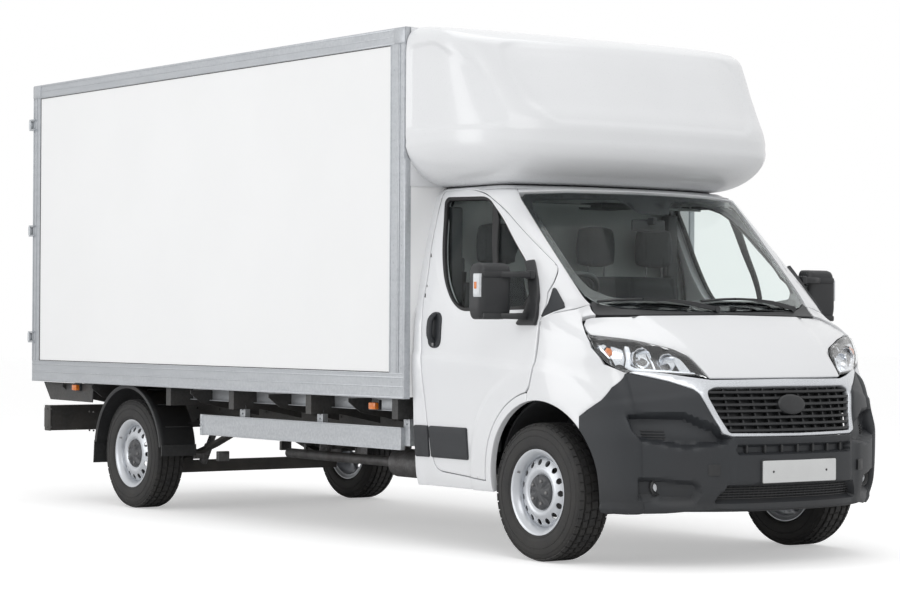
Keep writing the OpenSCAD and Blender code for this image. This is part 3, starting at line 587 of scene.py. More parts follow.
def bonnetRelief(girth, z, p):
    # a raised middle between two creases that spread rearwards
    line = 430 + (z - 1000) * 0.42
    return -9 * smoothStep((abs(p.x) - line) / 60) * smoothStep((z - 1000) / 120) * smoothStep((1345 - z) / 40)


def onSurface(girth, z, depth, relief=None):
    p = bareSurface(girth, z)
    lift = relief(girth, z, p) if relief else 0.0
    return p + outward(girth, z) * (lift - depth)


def fillLoops(loops, step):
    # triangles of the area inside the first loop and outside the others
    points, edges = [], []
    for loop in loops:
        first = len(points)
        points += loop
        edges += [(first + i, first + (i + 1) % len(loop)) for i in range(len(loop))]
    total = len(points)
    xs, ys = [p[0] for p in loops[0]], [p[1] for p in loops[0]]
    grid = []
    y, row = min(ys) + step / 2, 0
    while y < max(ys):
        x = min(xs) + step * (0.25 + 0.5 * (row % 2))
        while x < max(xs):
            grid.append((x, y))
            x += step
        y += step * 0.87
        row += 1

    def within(spots, margin):
        keep = signedDistances(loops[0], spots) > margin
        for hole in loops[1:]:
            keep &= signedDistances(hole, spots) < -margin
        return keep

    if grid:
        points += [p for p, good in zip(grid, within(grid, step * 0.42)) if good]
    verts, _, faces, ids, _, _ = delaunay_2d_cdt([Vector(p) for p in points], edges, [], 0, 1e-4, True)
    where = {}
    for k, originals in enumerate(ids):
        for i in originals:
            where[i] = k
    middles = [tuple(sum(verts[i][k] for i in f) / len(f) for k in (0, 1)) for f in faces]
    kept = [f for f, good in zip(faces, within(middles, 0)) if good]
    return [tuple(v) for v in verts], kept, [where.get(i, i) for i in range(total)]


def panel(bm, loops, rim, step=40, mat=0, relief=None, surface=onSurface, edgeStep=None):
    # a closed solid on a surface: rim = [(inset, depth)] from the outer face to the inner face
    loops = [dense(loop, edgeStep or step * 0.6) for loop in loops]
    outerSign = [1] + [-1] * (len(loops) - 1)
    rings = []
    for inset, depth in rim:
        rings.append([[bm.verts.new(surface(x, y, depth, relief)) for x, y in grow(loop, -inset * sign)]
                      for loop, sign in zip(loops, outerSign)])
    for upper, lower in zip(rings, rings[1:]):
        for a, b in zip(upper, lower):
            n = len(a)
            for j in range(n):
                bm.faces.new([a[j], a[(j + 1) % n], b[(j + 1) % n], b[j]]).material_index = mat
    for (inset, depth), ring in ((rim[0], rings[0]), (rim[-1], rings[-1])):
        flat = [grow(loop, -inset * sign) for loop, sign in zip(loops, outerSign)]
        points, faces, where = fillLoops(flat, step if ring is rings[0] else step * 1.8)
        edge = [v for loop in ring for v in loop]
        known = {k: edge[i] for i, k in enumerate(where)}
        verts = [known.get(k) or bm.verts.new(surface(x, y, depth, relief)) for k, (x, y) in enumerate(points)]
        for f in faces:
            corners = [verts[i] for i in f]
            if len(set(corners)) == 3:
                try:
                    bm.faces.new(corners).material_index = mat
                except ValueError:
                    pass


def sideLoop(points):
    return [fromSide(*p) for p in points]


def frontLoop(points):
    return [fromFront(*p) for p in points]


def mirrored(points):
    # the whole outline from its right-hand half, given from the middle outwards and back to the middle
    return points + [(-x, y) for x, y in reversed(points) if abs(x) > 0.01]


def arc(cx, cy, r, start, end, step=6):
    count = max(2, round(abs(end - start) / step))
    return [(cx + r * math.cos(math.radians(start + (end - start) * k / count)),
             cy + r * math.sin(math.radians(start + (end - start) * k / count))) for k in range(count + 1)]


softRim = [(3.5, 0), (1.2, 0.6), (0, 2.8)]
print("helpers ready")

# Cab outlines, in side stations or front widths.
doorFlat = [(1062, 2022, 30), (800, 2022, 60), (640, 1990, 80), (440, 1895, 80), (150, 1680, 60), (14, 1565, 60),
            (-32, 1480, 40), (-26, 1250, 30), (-6, 1080, 40), (40, 930, 20)]
doorFlat += [(s, z, 0) for s, z in arc(-30, 430, 482, 78, -2, 5)]
doorFlat += [(470, 412, 12), (880, 440, 30), (930, 470, 30), (975, 660, 60), (1008, 880, 60), (1030, 1080, 60),
    (1050, 1360, 60)]
doorLoop = sideLoop(roundLoop(doorFlat, 0))
windowFlat = [(1028, 1965, 25), (1010, 1985, 20), (620, 1976, 70), (440, 1850, 60), (150, 1590, 60), (62, 1500, 25),
    (66, 1345, 12),
              (690, 1335, 70), (790, 1390, 70), (880, 1500, 80), (940, 1640, 80)]
windowLoop = sideLoop(roundLoop(windowFlat, 0))
screenHalf = [(0, 1344), (400, 1349), (640, 1360), (735, 1378), (785, 1416), (799, 1500), (794, 1950), (772, 1988),
    (500, 2003), (0, 2008)]
screenFlat = roundLoop([(x, z, 30) for x, z in mirrored(screenHalf)], 30)
screenLoop = frontLoop(screenFlat)
shut = 5.5  # gap between panels


def doorChain(gap):
    # the door opening's edge from the arch round the back and top to the foot of the pillar
    loop = grow(doorLoop, gap)
    low = min(range(len(loop)), key=lambda i: math.dist(loop[i], fromSide(62, 906)))
    high = min(range(len(loop)), key=lambda i: math.dist(loop[i], fromSide(-36, 1300)))
    step = 1
    path = [low]
    while path[-1] != high:
        path.append((path[-1] + step) % len(loop))
    return [loop[i] for i in path]


def buildShell():
    bm = bmesh.new()
    half = doorChain(shut)
    lowerLine = [fromSide(1104, 350), fromSide(392, 350)] + sideLoop(arc(-30, 430, 430, -9, 79, 5)) + [fromSide(55, 895)]
    joint = sideLoop([(-120, 1330), (-180, 1352)]) + frontLoop([(792, 1372)])
    screenSide = frontLoop([(806, 1420), (809, 1500), (804, 1950), (784, 1996), (500, 2013), (0, 2018)])
    right = lowerLine + half + joint + screenSide
    left = [(-u, z) for u, z in reversed(right[:-1])]
    # one ribbon over both sides: sills, rear pillars, roof edge and screen pillars
    loop = right + left + [(-fromSide(1104, 600)[0], 2040), (fromSide(1104, 600)[0], 2040)]
    panel(bm, [loop], softRim + [(0, 12), (0, 38)], step=34, relief=bodyRelief)
    # back wall and roof skin
    back = [(-w + 6, z) for z in range(480, 2041, 60) for w in [lookUp(cabTable, z)[0]]]
    ring = [(x, z) for x, z in back] + [(-x, z) for x, z in reversed(back)]
    wall = bmesh.new()
    loft(wall, [[(x, 1066, z) for x, z in ring], [(x, 1106, z) for x, z in ring]])
    roof = []
    for z in (2043, 2036, 2015):
        roof.append([tuple(onSurface(u, z, 3)) for u in [k * 80 for k in range(-25, 26)]] + [(-778, 1104, z),
            (778, 1104, z)])
    loft(bm, [roof[0], roof[2]])
    finish(wall, "cab.rearWall", "lining", "chassis")
    return finish(bm, "cab.shell", ["white", "metal"], "chassis", both=False, replace=("cab_shell",))


def buildWings():
    bm = bmesh.new()
    loop = sideLoop(arc(-30, 430, 430, 79, 137.7, 5) + [(-348, 786), (-400, 822), (-470, 870), (-515, 940), (-541, 1016)])
    loop += frontLoop([(838, 1018), (924, 1058), (958, 1146), (952, 1222), (934, 1254), (874, 1306), (832, 1315),
        (800, 1318), (800, 1370)])
    loop += sideLoop([(-180, 1346), (-120, 1325), (-44, 1297), (-38, 1250), (-18, 1080), (29, 928), (50, 900)])
    panel(bm, [loop], softRim + [(0, 12), (0, 30)], step=24, relief=bodyRelief)
    return finish(bm, "cab.wings", "white", "chassis", both=True, replace=("front_wings",))


bonnetHalf = [(0, 992), (470, 991), (508, 1106), (572, 1147), (754, 1195), (930, 1222), (925, 1248), (868, 1299),
    (830, 1308),
              (760, 1312), (500, 1315), (0, 1321)]


def buildBonnet():
    bm = bmesh.new()
    loop = frontLoop(roundLoop([(x, z, 10) for x, z in mirrored(bonnetHalf)], 10))
    panel(bm, [loop], softRim + [(0, 10), (8, 12)], step=30, relief=bonnetRelief)
    # stiffening ribs and hinge arms under the skin
    for x in (-430, -150, 150, 430):
        rings = []
        for z in (1010, 1080, 1150, 1220, 1290):
            c = onSurface(*fromFront(x, z), 12)
            rings.append([tuple(c + Vector(d)) for d in ((-16, 0, 0), (-10, 14, 0), (10, 14, 0), (16, 0, 0))])
        loft(bm, rings)
    for x in (-600, 600):
        lathe(bm, [(6, -15), (10, -15), (10, 15), (6, 15)], (x, -260, 1312), "x", 20, 1)
        for z0, z1, s0, s1 in ((1303, 1310, -330, -266),):
            block(bm, x - 15, x + 15, s0, s1, z0, z1, 2, 1)
    return finish(bm, "bonnet.panel", ["white", "metal"], "hood", replace=("bonnet",))


def buildScuttle():
    bm = bmesh.new()
    low = [(0, 1328), (500, 1322), (760, 1319), (794, 1320), (793, 1370)]
    high = [(770, 1392), (728, 1371), (640, 1353), (400, 1343), (0, 1338.5)]
    flat = mirrored(low + high)
    panel(bm, [frontLoop(flat)], [(1, 4), (0, 6), (0, 26)], step=20)
    # the shelf below the glass
    rows = []
    for s0, z in ((30, 1330), (200, 1318)):
        rows.append([(x, lookUp(cabTable, 1345)[2] + s0 + 150 * abs(x / 832) ** 2.7, z) for x in range(-780, 781, 60)])
    loft(bm, [rows[0] + [(x, s, z - 8) for x, s, z in reversed(rows[0])],
        rows[1] + [(x, s, z - 8) for x, s, z in reversed(rows[1])]])
    for x in (-600, 600):
        for d in (-24, 16):
            block(bm, x + d, x + d + 8, -268, -238, 1304, 1330, 1.5)
        lathe(bm, [(0, -24), (5, -24), (5, 24), (0, 24)], (x, -260, 1312), "x", 14, closed=False)
    return finish(bm, "cab.scuttle", "black", "chassis", replace=("scuttle_panel",))


def wiper(bm, pivot, reach):
    # arm from its spindle and the blade that lies along the foot of the glass
    px, pz = pivot
    base = onSurface(*fromFront(px, pz), -6)
    lathe(bm, [(0, -12), (17, -12), (19, 6), (14, 14), (0, 16)], tuple(base), "s", 18, closed=False)
    path = [onSurface(*fromFront(px + (reach - px) * t, pz + 42 * math.sin(min(1, t * 1.25) * math.pi / 2)),
        -(10 + 16 * math.sin(t * math.pi)))
            for t in (0, 0.15, 0.3, 0.5, 0.7)]
    rings = []
    for i, p in enumerate(path):
        w = 13 - 2 * i
        rings.append([tuple(p + Vector(d)) for d in ((0, -7, -w), (0, -7, w), (0, 5, w), (0, 5, -w))])
    loft(bm, rings)
    blade = []
    for k in range(17):
        t = k / 16
        x = px + (reach - px) * (0.22 + 0.86 * t)
        c = onSurface(*fromFront(x, pz + 36 + 14 * math.sin(math.pi * t)), -9)
        blade.append([tuple(c + Vector(d)) for d in ((0, 8, -3), (0, 1, -7), (0, -8, -5), (0, -11, 0), (0, -8, 5),
            (0, 1, 7), (0, 8, 3))])
    loft(bm, blade)


def buildScreen():
    bm = bmesh.new()
    panel(bm, [screenLoop], [(1, 5), (0, 6), (0, 10)], step=60)
    finish(bm, "cab.windscreen", "tinted", "chassis", replace=("windscreen",))
    bm = bmesh.new()
    # black border printed round the glass, deepest at its foot, and the sensor patch
    hole = [(0, 1404), (500, 1404), (655, 1418), (738, 1462), (762, 1540), (766, 1900), (748, 1950), (500, 1966),
            (190, 1972), (110, 1892)]
    hole = hole + [(-x, z) for x, z in reversed(hole) if x]
    border = frontLoop(roundLoop([(x, z, 26) for x, z in hole], 26))
    panel(bm, [grow(screenLoop, -1), border], [(0, 10.5), (0, 12)], step=45)
    finish(bm, "cab.screenBorder", "gloss", "chassis")
    bm = bmesh.new()
    wiper(bm, (592, 1352), -60)
    wiper(bm, (-39, 1345), -700)
    finish(bm, "cab.wipers", "black", "chassis")
    bm = bmesh.new()
    # inner mirror under the sensor patch
    c = onSurface(*fromFront(0, 1890), 60)
    block(bm, c.x - 120, c.x + 120, c.y + 10, c.y + 34, c.z - 60, c.z + 10, 14)
    block(bm, c.x - 14, c.x + 14, c.y - 40, c.y + 14, c.z - 20, c.z + 20, 6)
    finish(bm, "cab.innerMirror", "black", "chassis")


def doorPoint(s, z, height):
    u, v = fromSide(s, z)
    return onSurface(u, v, -height, bodyRelief)


def doorRelief(girth, z, p):
    # body relief, plus a soft step round the window
    out = bodyRelief(girth, z, p)
    out -= 3.5 * smoothStep((edgeDistance(windowLoop, girth, z) + 46) / 16)
    return out


def buildDoor(side):
    name = "Right" if side < 0 else "Left"
    body = "cab_door_" + name.lower()
    low = name.lower()

    def done(bm, part, material, replace=(), slot=None, smooth=35):
        if side < 0:
            for v in bm.verts:
                v.co.x = -v.co.x
        return finish(bm, "door" + name + "." + part, material, body, replace=replace, smooth=smooth)

    bm = bmesh.new()
    panel(bm, [doorLoop, windowLoop], softRim + [(0, 14), (14, 14), (14, 56), (20, 58)], step=17, relief=doorRelief)
    done(bm, "skin", ["white", "white"], ("door_" + low,), "white_paint")
    bm = bmesh.new()
    panel(bm, [grow(windowLoop, 10)], [(0, 24), (0, 28)], step=60)
    done(bm, "glass", "tinted", ("door_glass_" + low,), "tinted_glass")
    bm = bmesh.new()
    panel(bm, [grow(windowLoop, 1), grow(windowLoop, -19)], [(3, 3), (0, 6), (0, 22)], step=30, edgeStep=22)
    bar = sideLoop([(572, 1972), (598, 1974), (415, 1345), (389, 1345)])
    panel(bm, [bar], [(3, 9), (0, 12), (0, 23)], step=40)
    # the fixed pane's blank in front of the glass
    panel(bm, [sideLoop([(70, 1350), (150, 1350), (150, 1585), (66, 1500)])], [(2, 8), (0, 10), (0, 22)], step=30)
    panel(bm, [grow(doorLoop, -16), grow(doorLoop, -30)], [(3, 58), (0, 63), (3, 68)], step=30, edgeStep=26)
    done(bm, "seals", "seal", slot="black_plastic")
    bm = bmesh.new()
    trim = sideLoop(roundLoop([(520, 470), (850, 490), (925, 700), (968, 1000), (990, 1290), (60, 1300), (40, 1120),
        (110, 960),
                               (300, 860), (440, 660)], 40))
    panel(bm, [trim], [(10, 74), (4, 73), (0, 66), (0, 58.5)], step=40)
    block(bm, 925, 950, 380, 760, 1010, 1050, 10)
    block(bm, 915, 950, 420, 860, 560, 660, 14)
    done(bm, "trim", "dash", slot="dash_plastic")
    bm = bmesh.new()
    strip = sideLoop([(604, 512), (955, 512), (962, 690), (604, 690)])
    panel(bm, [roundLoop([(u, z) for u, z in strip], 14)], [(12, -12), (4, -10), (0, -4), (0, 4)], step=40,
        relief=bodyRelief)
    plate = sideLoop(roundLoop([(852, 1127), (974, 1127), (974, 1330), (852, 1330)], 56))
    panel(bm, [plate], [(16, -4), (9, -9), (2, -6), (0, -1), (0, 4)], step=30, relief=bodyRelief)
    for ds in (-6, 0, 6):
        grip = [doorPoint(920 + ds, z, h) for z, h in ((1165, 4), (1175, 22), (1198, 33), (1235, 35), (1280, 33),
            (1300, 22), (1312, 4))]
        tube(bm, bend([tuple(p) for p in grip], 12, 3), 14, 12)
    cyl = doorPoint(915, 1148, 8)
    lathe(bm, [(0, 0), (11, 0), (11, 5), (8, 7), (0, 7)], tuple(cyl), "x", 20, 1, closed=False)
    done(bm, "handle", ["grey", "metal"], slot="dark_plastic")
    buildMirror(done, low)


def buildMirror(done, side):
    bm = bmesh.new()
    foot = sideLoop(roundLoop([(-14, 1258, 12), (150, 1258, 14), (158, 1600, 10), (118, 1606, 12), (40, 1500, 30),
        (-12, 1400, 30)], 12))
    panel(bm, [foot], [(10, -22), (3, -19), (0, -12), (0, -0.5)], step=24)
    for z0, z1 in ((1292, 1322), (1514, 1544)):
        # arms run out from the foot and then back to the housing
        a, b = (z0 + z1) / 2, 15
        path = [(1002, 62, a), (1060, 60, a), (1112, 66, a), (1160, 96, a), (1200, 120, a)]
        rings = []
        for i, p in enumerate(bend(path, 30, 4)):
            t = i / 14
            w, h = 17 - 4 * min(1, t), b + 3 - 3 * min(1, t)
            rings.append([(p.x, p.y + c * w, p.z + d * h) for c, d in ((-1, -.6), (-.7, -1), (.7, -1), (1, -.6), (1, .6),
                (.7, 1), (-.7, 1), (-1, .6))])
        loft(bm, rings)
        block(bm, 985, 1018, 40, 90, z0 - 8, z1 + 8, 7)
    # housing: a rounded shell, fuller in front, open behind for the glass
    rings = []
    sections = [(100, 0.76), (104, 0.86), (116, 0.95), (136, 0.99), (165, 1.0), (193, 1.0)]
    outline = roundLoop([(1095, 1289, 46), (1296, 1289, 50), (1312, 1340, 60), (1311, 1540, 60), (1290, 1590, 52),
        (1110, 1590, 40), (1092, 1560, 30)], 40, 6)
    outline = dense(outline, 16)
    cx, cz = 1202, 1440
    for s, k in sections:
        rings.append([(cx + (x - cx) * k, s, cz + (z - cz) * k) for x, z in outline])
    for s, k in ((193, 0.93), (180, 0.92)):
        rings.append([(cx + (x - cx) * k, s, cz + (z - cz) * k) for x, z in outline])
    loft(bm, rings)
    # raised band between the arms on the housing's front
    for z in (1307, 1529):
        block(bm, 1150, 1290, 92, 110, z - 17, z + 17, 9)
    done(bm, "mirrorHousing", "black", ("mirror_" + side,), "black_plastic")
    bm = bmesh.new()
    for z0, z1 in ((1300, 1395), (1403, 1578)):
        flat = roundLoop([(1112, z0), (1296, z0), (1296, z1), (1112, z1)], 26)
        loft(bm, [[(x, 184, z) for x, z in flat], [(x, 188, z) for x, z in flat]])
    done(bm, "mirrorGlass", "chrome", slot="black_plastic")
    bm = bmesh.new()
    # side repeater wraps the housing's outer edge
    rings = []
    for z in (1408, 1416, 1430, 1470, 1510, 1524, 1532):
        k = 1 if 1412 < z < 1528 else 0.4
        rings.append([(1296, 106, z), (1306 + 4 * k, 108, z), (1312 + 5 * k, 124, z), (1314 + 5 * k, 150, z),
            (1310, 160, z), (1296, 150, z)])
    loft(bm, rings, 0)
    block(bm, 1309, 1319, 122, 146, 1450, 1490, 4, 1)
    done(bm, "mirrorLamp", ["lens", "orange"], slot="lamp_cover")


# Cab front: bumper, grille, lamps.
intake = [(884, 800), (640, 806), (500, 742), (430, 668), (470, 650), (650, 628), (836, 668), (870, 720)]
fogHollow = [(850, 476), (720, 470), (594, 455), (570, 400), (600, 350), (720, 345), (838, 365)]
slotFlat = [(-400, 597), (400, 597), (400, 647), (-400, 647)]
meshHalf = [(0, 346), (500, 346), (468, 398), (441, 436), (0, 440)]
plateFlat = [(-262, 446), (262, 446), (262, 562), (-262, 562)]


def bumperRelief(girth, z, p):
    x = abs(p.x)
    if z > 1010 or abs(girth) > 1500:
        return 3.0
    out = 3.0
    # the upper step of the bumper sweeps down from the wing to the intake
    line = 930 - (x - 560) * 0.16
    out += 9 * smoothStep((line - z) / 22) * smoothStep((x - 470) / 60)
    for outline, depth, ramp in ((intake, 62, 26), (fogHollow, 40, 30)):
        out -= depth * smoothStep((edgeDistance(outline, x, z) + 6) / ramp)
    if x < 560:
        out -= 46 * smoothStep((edgeDistance(mirroredMesh, p.x, z) + 4) / 10)
        out -= 34 * smoothStep((edgeDistance(slotFlat, p.x, z) + 3) / 7)
        out += 8 * smoothStep((430 - x) / 6) * smoothStep((z - 436) / 8) * smoothStep((686 - z) / 6)
    # lip along the foot
    out += 12 * smoothStep((338 - z) / 16) * smoothStep((z - 290) / 10)
    return out


mirroredMesh = mirrored(meshHalf)


def buildBumper():
    bm = bmesh.new()
    low = [fromFront(0, 312), fromFront(300, 314), fromFront(530, 322), fromFront(700, 304),
        fromFront(884, 288)] + sideLoop([(-452, 300)])
    rear = sideLoop(arc(-30, 430, 430, 197.6, 137.7, 6) + [(-348, 786), (-400, 822), (-470, 870), (-515, 940),
        (-541, 1016)])
    top = frontLoop([(829, 1014), (775, 998), (673, 969), (574, 928), (553, 906), (471, 703), (425, 685), (0, 682)])
    half = low + rear + top
    panel(bm, [[p for p in half] + [(-u, z) for u, z in reversed(half[1:-1])]], [(4, 0), (1.5, 0.6), (0, 3), (0, 30)],
        step=16, relief=bumperRelief)
    # chin: the C-shaped lower lip that runs back under the engine bay
    rings = []
    for k in range(-16, 17):
        u = k / 16 * 1200
        rings.append([tuple(onSurface(u, 312, d) + Vector((0, 0, h))) for d,
            h in ((2, 0), (2, -14), (30, -30), (150, -34), (150, -26), (40, -6))])
    loft(bm, rings)
    finish(bm, "bumper.skin", "grey", "chassis", replace=("front_bumper",))
    bm = bmesh.new()
    # openings: mesh below, ribs in the slot, slats in the intakes, lamp bezels
    for z in range(356, 440, 15):
        half = 500 - max(0, (z - 346)) * 0.62
        rings = [[tuple(onSurface(*fromFront(x, z), 30 + d) + Vector((0, 0, h))) for d,
            h in ((0, -2), (0, 2), (10, 2), (10, -2))]
                 for x in [half * k / 14 for k in range(-14, 15)]]
        loft(bm, rings)
    for k in range(-16, 17):
        x = k * 30
        c0, c1 = (onSurface(*fromFront(x, z), 34) for z in (352, 434))
        tube(bm, [tuple(c0), tuple(c1)], 2.2, 6)
    for k in range(-3, 4):
        x = k * 112
        c = onSurface(*fromFront(x, 622), 18)
        block(bm, x - 7, x + 7, c.y - 14, c.y + 26, 600, 645, 3)
    for side in (-1, 1):
        for k in range(4):
            z = 676 + 17 * k
            rings = [[tuple(onSurface(*fromFront(side * x, z), 42 + d) + Vector((0, 0, h))) for d,
                h in ((0, -3), (0, 3), (24, 8), (24, 2))]
                     for x in (735, 755, 775, 795, 815, 830)]
            loft(bm, rings)
        c = onSurface(*fromFront(side * 765, 424), 34)
        lathe(bm, [(27, 0), (40, -8), (46, -2), (44, 14), (27, 12)], tuple(c), "s", 32)
        cover = frontLoop([(side * x, z) for x, z in roundLoop([(491, 489), (551, 489), (551, 547), (491, 547)], 8)])
        panel(bm, [cover], [(2, -16), (0, -14.5), (0, -9)], step=30)
    finish(bm, "bumper.grilles", "black", "chassis")
    bm = bmesh.new()
    for side in (-1, 1):
        c = onSurface(*fromFront(side * 765, 424), 38)
        lathe(bm, [(0, -7), (14, -5.5), (27, 0), (27, 8), (0, 8)], tuple(c), "s", 28, closed=False)
    finish(bm, "bumper.fogLamps", "lens", "chassis")
    bm = bmesh.new()
    flat = roundLoop(plateFlat, 8)
    c = onSurface(0, 500, 0).y
    loft(bm, [[(x, -962, z) for x, z in grow(flat, -2)], [(x, -960, z) for x, z in flat], [(x, -954, z) for x, z in flat]],
        0)
    loft(bm, [[(x, -955, z) for x, z in grow(flat, 5)], [(x, -945, z) for x, z in grow(flat, 7)]], 1)
    for x in (-190, 190):
        lathe(bm, [(0, -5), (5, -4), (7, 0), (0, 0)], (x, -961, 504), "s", 14, 1, closed=False)
    finish(bm, "bumper.plate", ["plate", "black"], "chassis")


def buildGrille():
    bm = bmesh.new()
    # bright frame, and the strips that run on under the lamps
    outer = [(0, 684), (424, 687), (470, 706), (552, 907), (574, 931), (673, 972), (775, 1001), (825, 1014), (800, 1026),
        (793, 1027),
             (690, 1018), (589, 1000), (467, 982), (0, 986)]
    inner = [(0, 703), (434, 708), (508, 893), (505, 925), (460, 944), (0, 946)]
    loops = [frontLoop(mirrored(outer)), frontLoop(roundLoop([(x, z, 16) for x, z in mirrored(inner)], 16))]
    panel(bm, loops, [(5, -2), (2, 0), (0, 4), (0, 34)], step=20)
    finish(bm, "grille.frame", "silver", "chassis", replace=("grille",))
    bm = bmesh.new()
    for k in range(7):
        z = 722 + k * 33
        half = 444 + (z - 709) * 0.36
        rings = [[tuple(onSurface(*fromFront(x, z), d) + Vector((0, 0, h))) for d,
            h in ((6, -6), (6, 5), (14, 9), (46, 12), (46, 6), (16, -8))]
                 for x in [half * j / 16 for j in range(-16, 17)]]
        loft(bm, rings)
    for j in range(-5, 6):
        x = j * 82
        rings = [[tuple(onSurface(*fromFront(x + w, z), d)) for w, d in ((-5, 22), (5, 22), (5, 50),
            (-5, 50))] for z in (704, 780, 860, 944)]
        loft(bm, rings)
    # shell behind the bars
    half = [(0, 700), (440, 700), (520, 905), (500, 960), (0, 960)]
    panel(bm, [frontLoop(mirrored(half))], [(0, 48), (0, 52)], step=60)
    # plain oval blank in the middle, without a badge
    blank = frontLoop([(96 * math.cos(a), 852 + 52 * math.sin(a)) for a in [2 * math.pi * k / 40 for k in range(40)]])
    panel(bm, [blank], [(14, -7), (5, -4), (0, 2), (0, 30)], step=24)
    finish(bm, "grille.bars", "black", "chassis")


lampFlat = [(951, 1219, 10), (754, 1191, 60), (573, 1144, 40), (514, 1103, 20), (473, 992, 12), (509, 1003, 14),
    (687, 1013, 40),
            (827, 1016, 30), (921, 1064, 40), (955, 1148, 40)]


def buildLamps():
    loop = frontLoop(roundLoop(lampFlat, 20))

    def done(bm, part, material, replace=()):
        return finish(bm, "headlamps." + part, material, "chassis", both=True, replace=replace)

    bm = bmesh.new()
    panel(bm, [loop], [(5, 0), (2, 1.2), (0, 4), (0, 8)], step=26)
    done(bm, "cover", "cover")
    bm = bmesh.new()
    # housing: a dark rim and a back plate
    panel(bm, [grow(loop, -0.5), grow(loop, -11)], [(0, 9), (0, 50)], step=18)
    panel(bm, [grow(loop, -4)], [(0, 50), (0, 58)], step=30)
    done(bm, "housing", "gloss", ("headlamps",))
    bm = bmesh.new()
    for x, z, r in ((763, 1112, 52), (647, 1090, 46)):
        c = onSurface(*fromFront(x, z), 44)
        rings = []
        profile = [(0.12, 6), (0.35, 3), (0.62, -6), (0.86, -20), (1.0, -34), (1.06, -34), (1.0, -10), (0.9, 4), (0.5, 10)]
        for rr, d in profile:
            rings.append([(c.x + r * rr * math.cos(a) * 1.06, c.y + d + 0.10 * r * rr * math.cos(a),
                c.z + r * rr * math.sin(a))
                          for a in [2 * math.pi * k / 36 for k in range(36)]])
        loft(bm, rings)
        lathe(bm, [(0, -16), (9, -14), (13, -6), (14, 6), (0, 6)], tuple(c), "s", 20, closed=False)
    # reflector plates between the bowls and outside them
    for flat in ([(820, 1150), (868, 1168), (880, 1078), (838, 1046)], [(888, 1172), (926, 1182), (934, 1140), (900, 1084)],
                 [(706, 1168), (716, 1170), (712, 1040), (700, 1040)], [(560, 1128), (600, 1140), (590, 1030),
                     (530, 1020)]):
        panel(bm, [frontLoop(roundLoop(flat, 8))], [(4, 26), (0, 30), (0, 48)], step=14)
    done(bm, "bowls", "chrome")
    bm = bmesh.new()
    # running light: along the foot and up between the bowls and the indicator
    strip = [(520, 1012), (690, 1022), (810, 1026), (834, 1044), (806, 1162), (786, 1158), (810, 1052), (790, 1041),
        (690, 1037), (524, 1027)]
    panel(bm, [frontLoop(roundLoop(strip, 7))], [(4, 14), (0, 18), (0, 40)], step=12)
    done(bm, "runningLight", "white light")
    bm = bmesh.new()
    panel(bm, [frontLoop(roundLoop([(872, 1150), (896, 1156), (900, 1120), (880, 1112)], 8))], [(4, 18), (0, 22), (0, 40)],
        step=12)
    done(bm, "indicator", "orange")


def buildCabSides():
    # fixed trims on the body: mirror triangle and rub strip behind the door
    bm = bmesh.new()
    tri = sideLoop(roundLoop([(-40, 1248, 16), (-100, 1255, 30), (-166, 1340, 20), (-30, 1560, 14), (-22, 1480, 10)], 12))
    tri = sideLoop(roundLoop([(-44, 1300, 12), (-44, 1462, 10), (-60, 1452, 12), (-152, 1352, 14), (-118, 1334, 10)], 10))
    panel(bm, [tri], [(8, -8), (2, -5), (0, 0), (0, 3)], step=24, relief=bodyRelief)
    strip = sideLoop(roundLoop([(972, 512), (1100, 512), (1100, 690), (972, 690)], 12))
    panel(bm, [strip], [(12, -12), (4, -10), (0, -4), (0, 3)], step=40, relief=bodyRelief)
    finish(bm, "cab.sideTrims", "grey", "chassis", both=True)


buildShell()
buildWings()
buildBonnet()
buildScuttle()
buildScreen()
print("cab body built")
for side in (-1, 1):
    buildDoor(side)
print("doors built")
buildBumper()
buildGrille()
buildLamps()
buildCabSides()
print("cab front built")


# Pod over the cab.
podHalfRows = [[2045, 800], [2060, 880], [2090, 950], [2130, 1004], [2180, 1048], [2230, 1076], [2280, 1090], [2800, 1090],
               [2870, 1082], [2920, 1056], [2950, 1000]]
podNoseRows = [[2045, 450], [2060, 360], [2090, 275], [2130, 210], [2180, 165], [2230, 145], [2300, 148], [2376, 166],
    [2500, 250],
               [2650, 358], [2780, 452], [2840, 505], [2880, 600], [2920, 770], [2950, 960]]
podSettings = {"sideHollow": 13, "noseHollow": 11, "skin": 34, "swage": 3.5}
podHalf, podNose = smoothTable(podHalfRows), smoothTable(podNoseRows)
sideHollow = [(1090, 2836), (848, 2842), (592, 2727), (388, 2548), (330, 2400), (352, 2352), (470, 2340), (1090, 2356)]
sideHollow = roundLoop(sideHollow, 46)
noseHollow = roundLoop(mirrored([(0, 2366), (720, 2366), (842, 2500), (880, 2700), (858, 2820), (760, 2848), (0, 2852)]),
    60)


def podPoint(a, z, t):
    w, f = lookUp(podHalf, z)[0] - t, lookUp(podNose, z)[0] + t
    c = max(820, f + 160)
    return Vector((math.copysign(w * abs(math.sin(a)) ** (2 / 3.3), a), c - (c - f) * max(0.0, math.cos(a)) ** (2 / 3.3),
        z))


def podOutline(z, t, count=110):
    # the outline at one height, evenly spaced, from the right-hand rear corner round the nose
    raw = [podPoint(math.pi / 2 * math.sin(k / 400 * math.pi / 2), z, t) for k in range(-400, 401)]
    raw = [Vector((raw[0].x, 1110, z))] + raw + [Vector((raw[-1].x, 1110, z))]
    length = [0.0]
    for a, b in zip(raw, raw[1:]):
        length.append(length[-1] + (b - a).length)
    out = []
    j = 0
    for k in range(2 * count + 1):
        goal = length[-1] * k / (2 * count)
        while j < len(raw) - 2 and length[j + 1] < goal:
            j += 1
        part = (goal - length[j]) / max(1e-9, length[j + 1] - length[j])
        out.append(raw[j].lerp(raw[j + 1], min(1, part)))
    return out


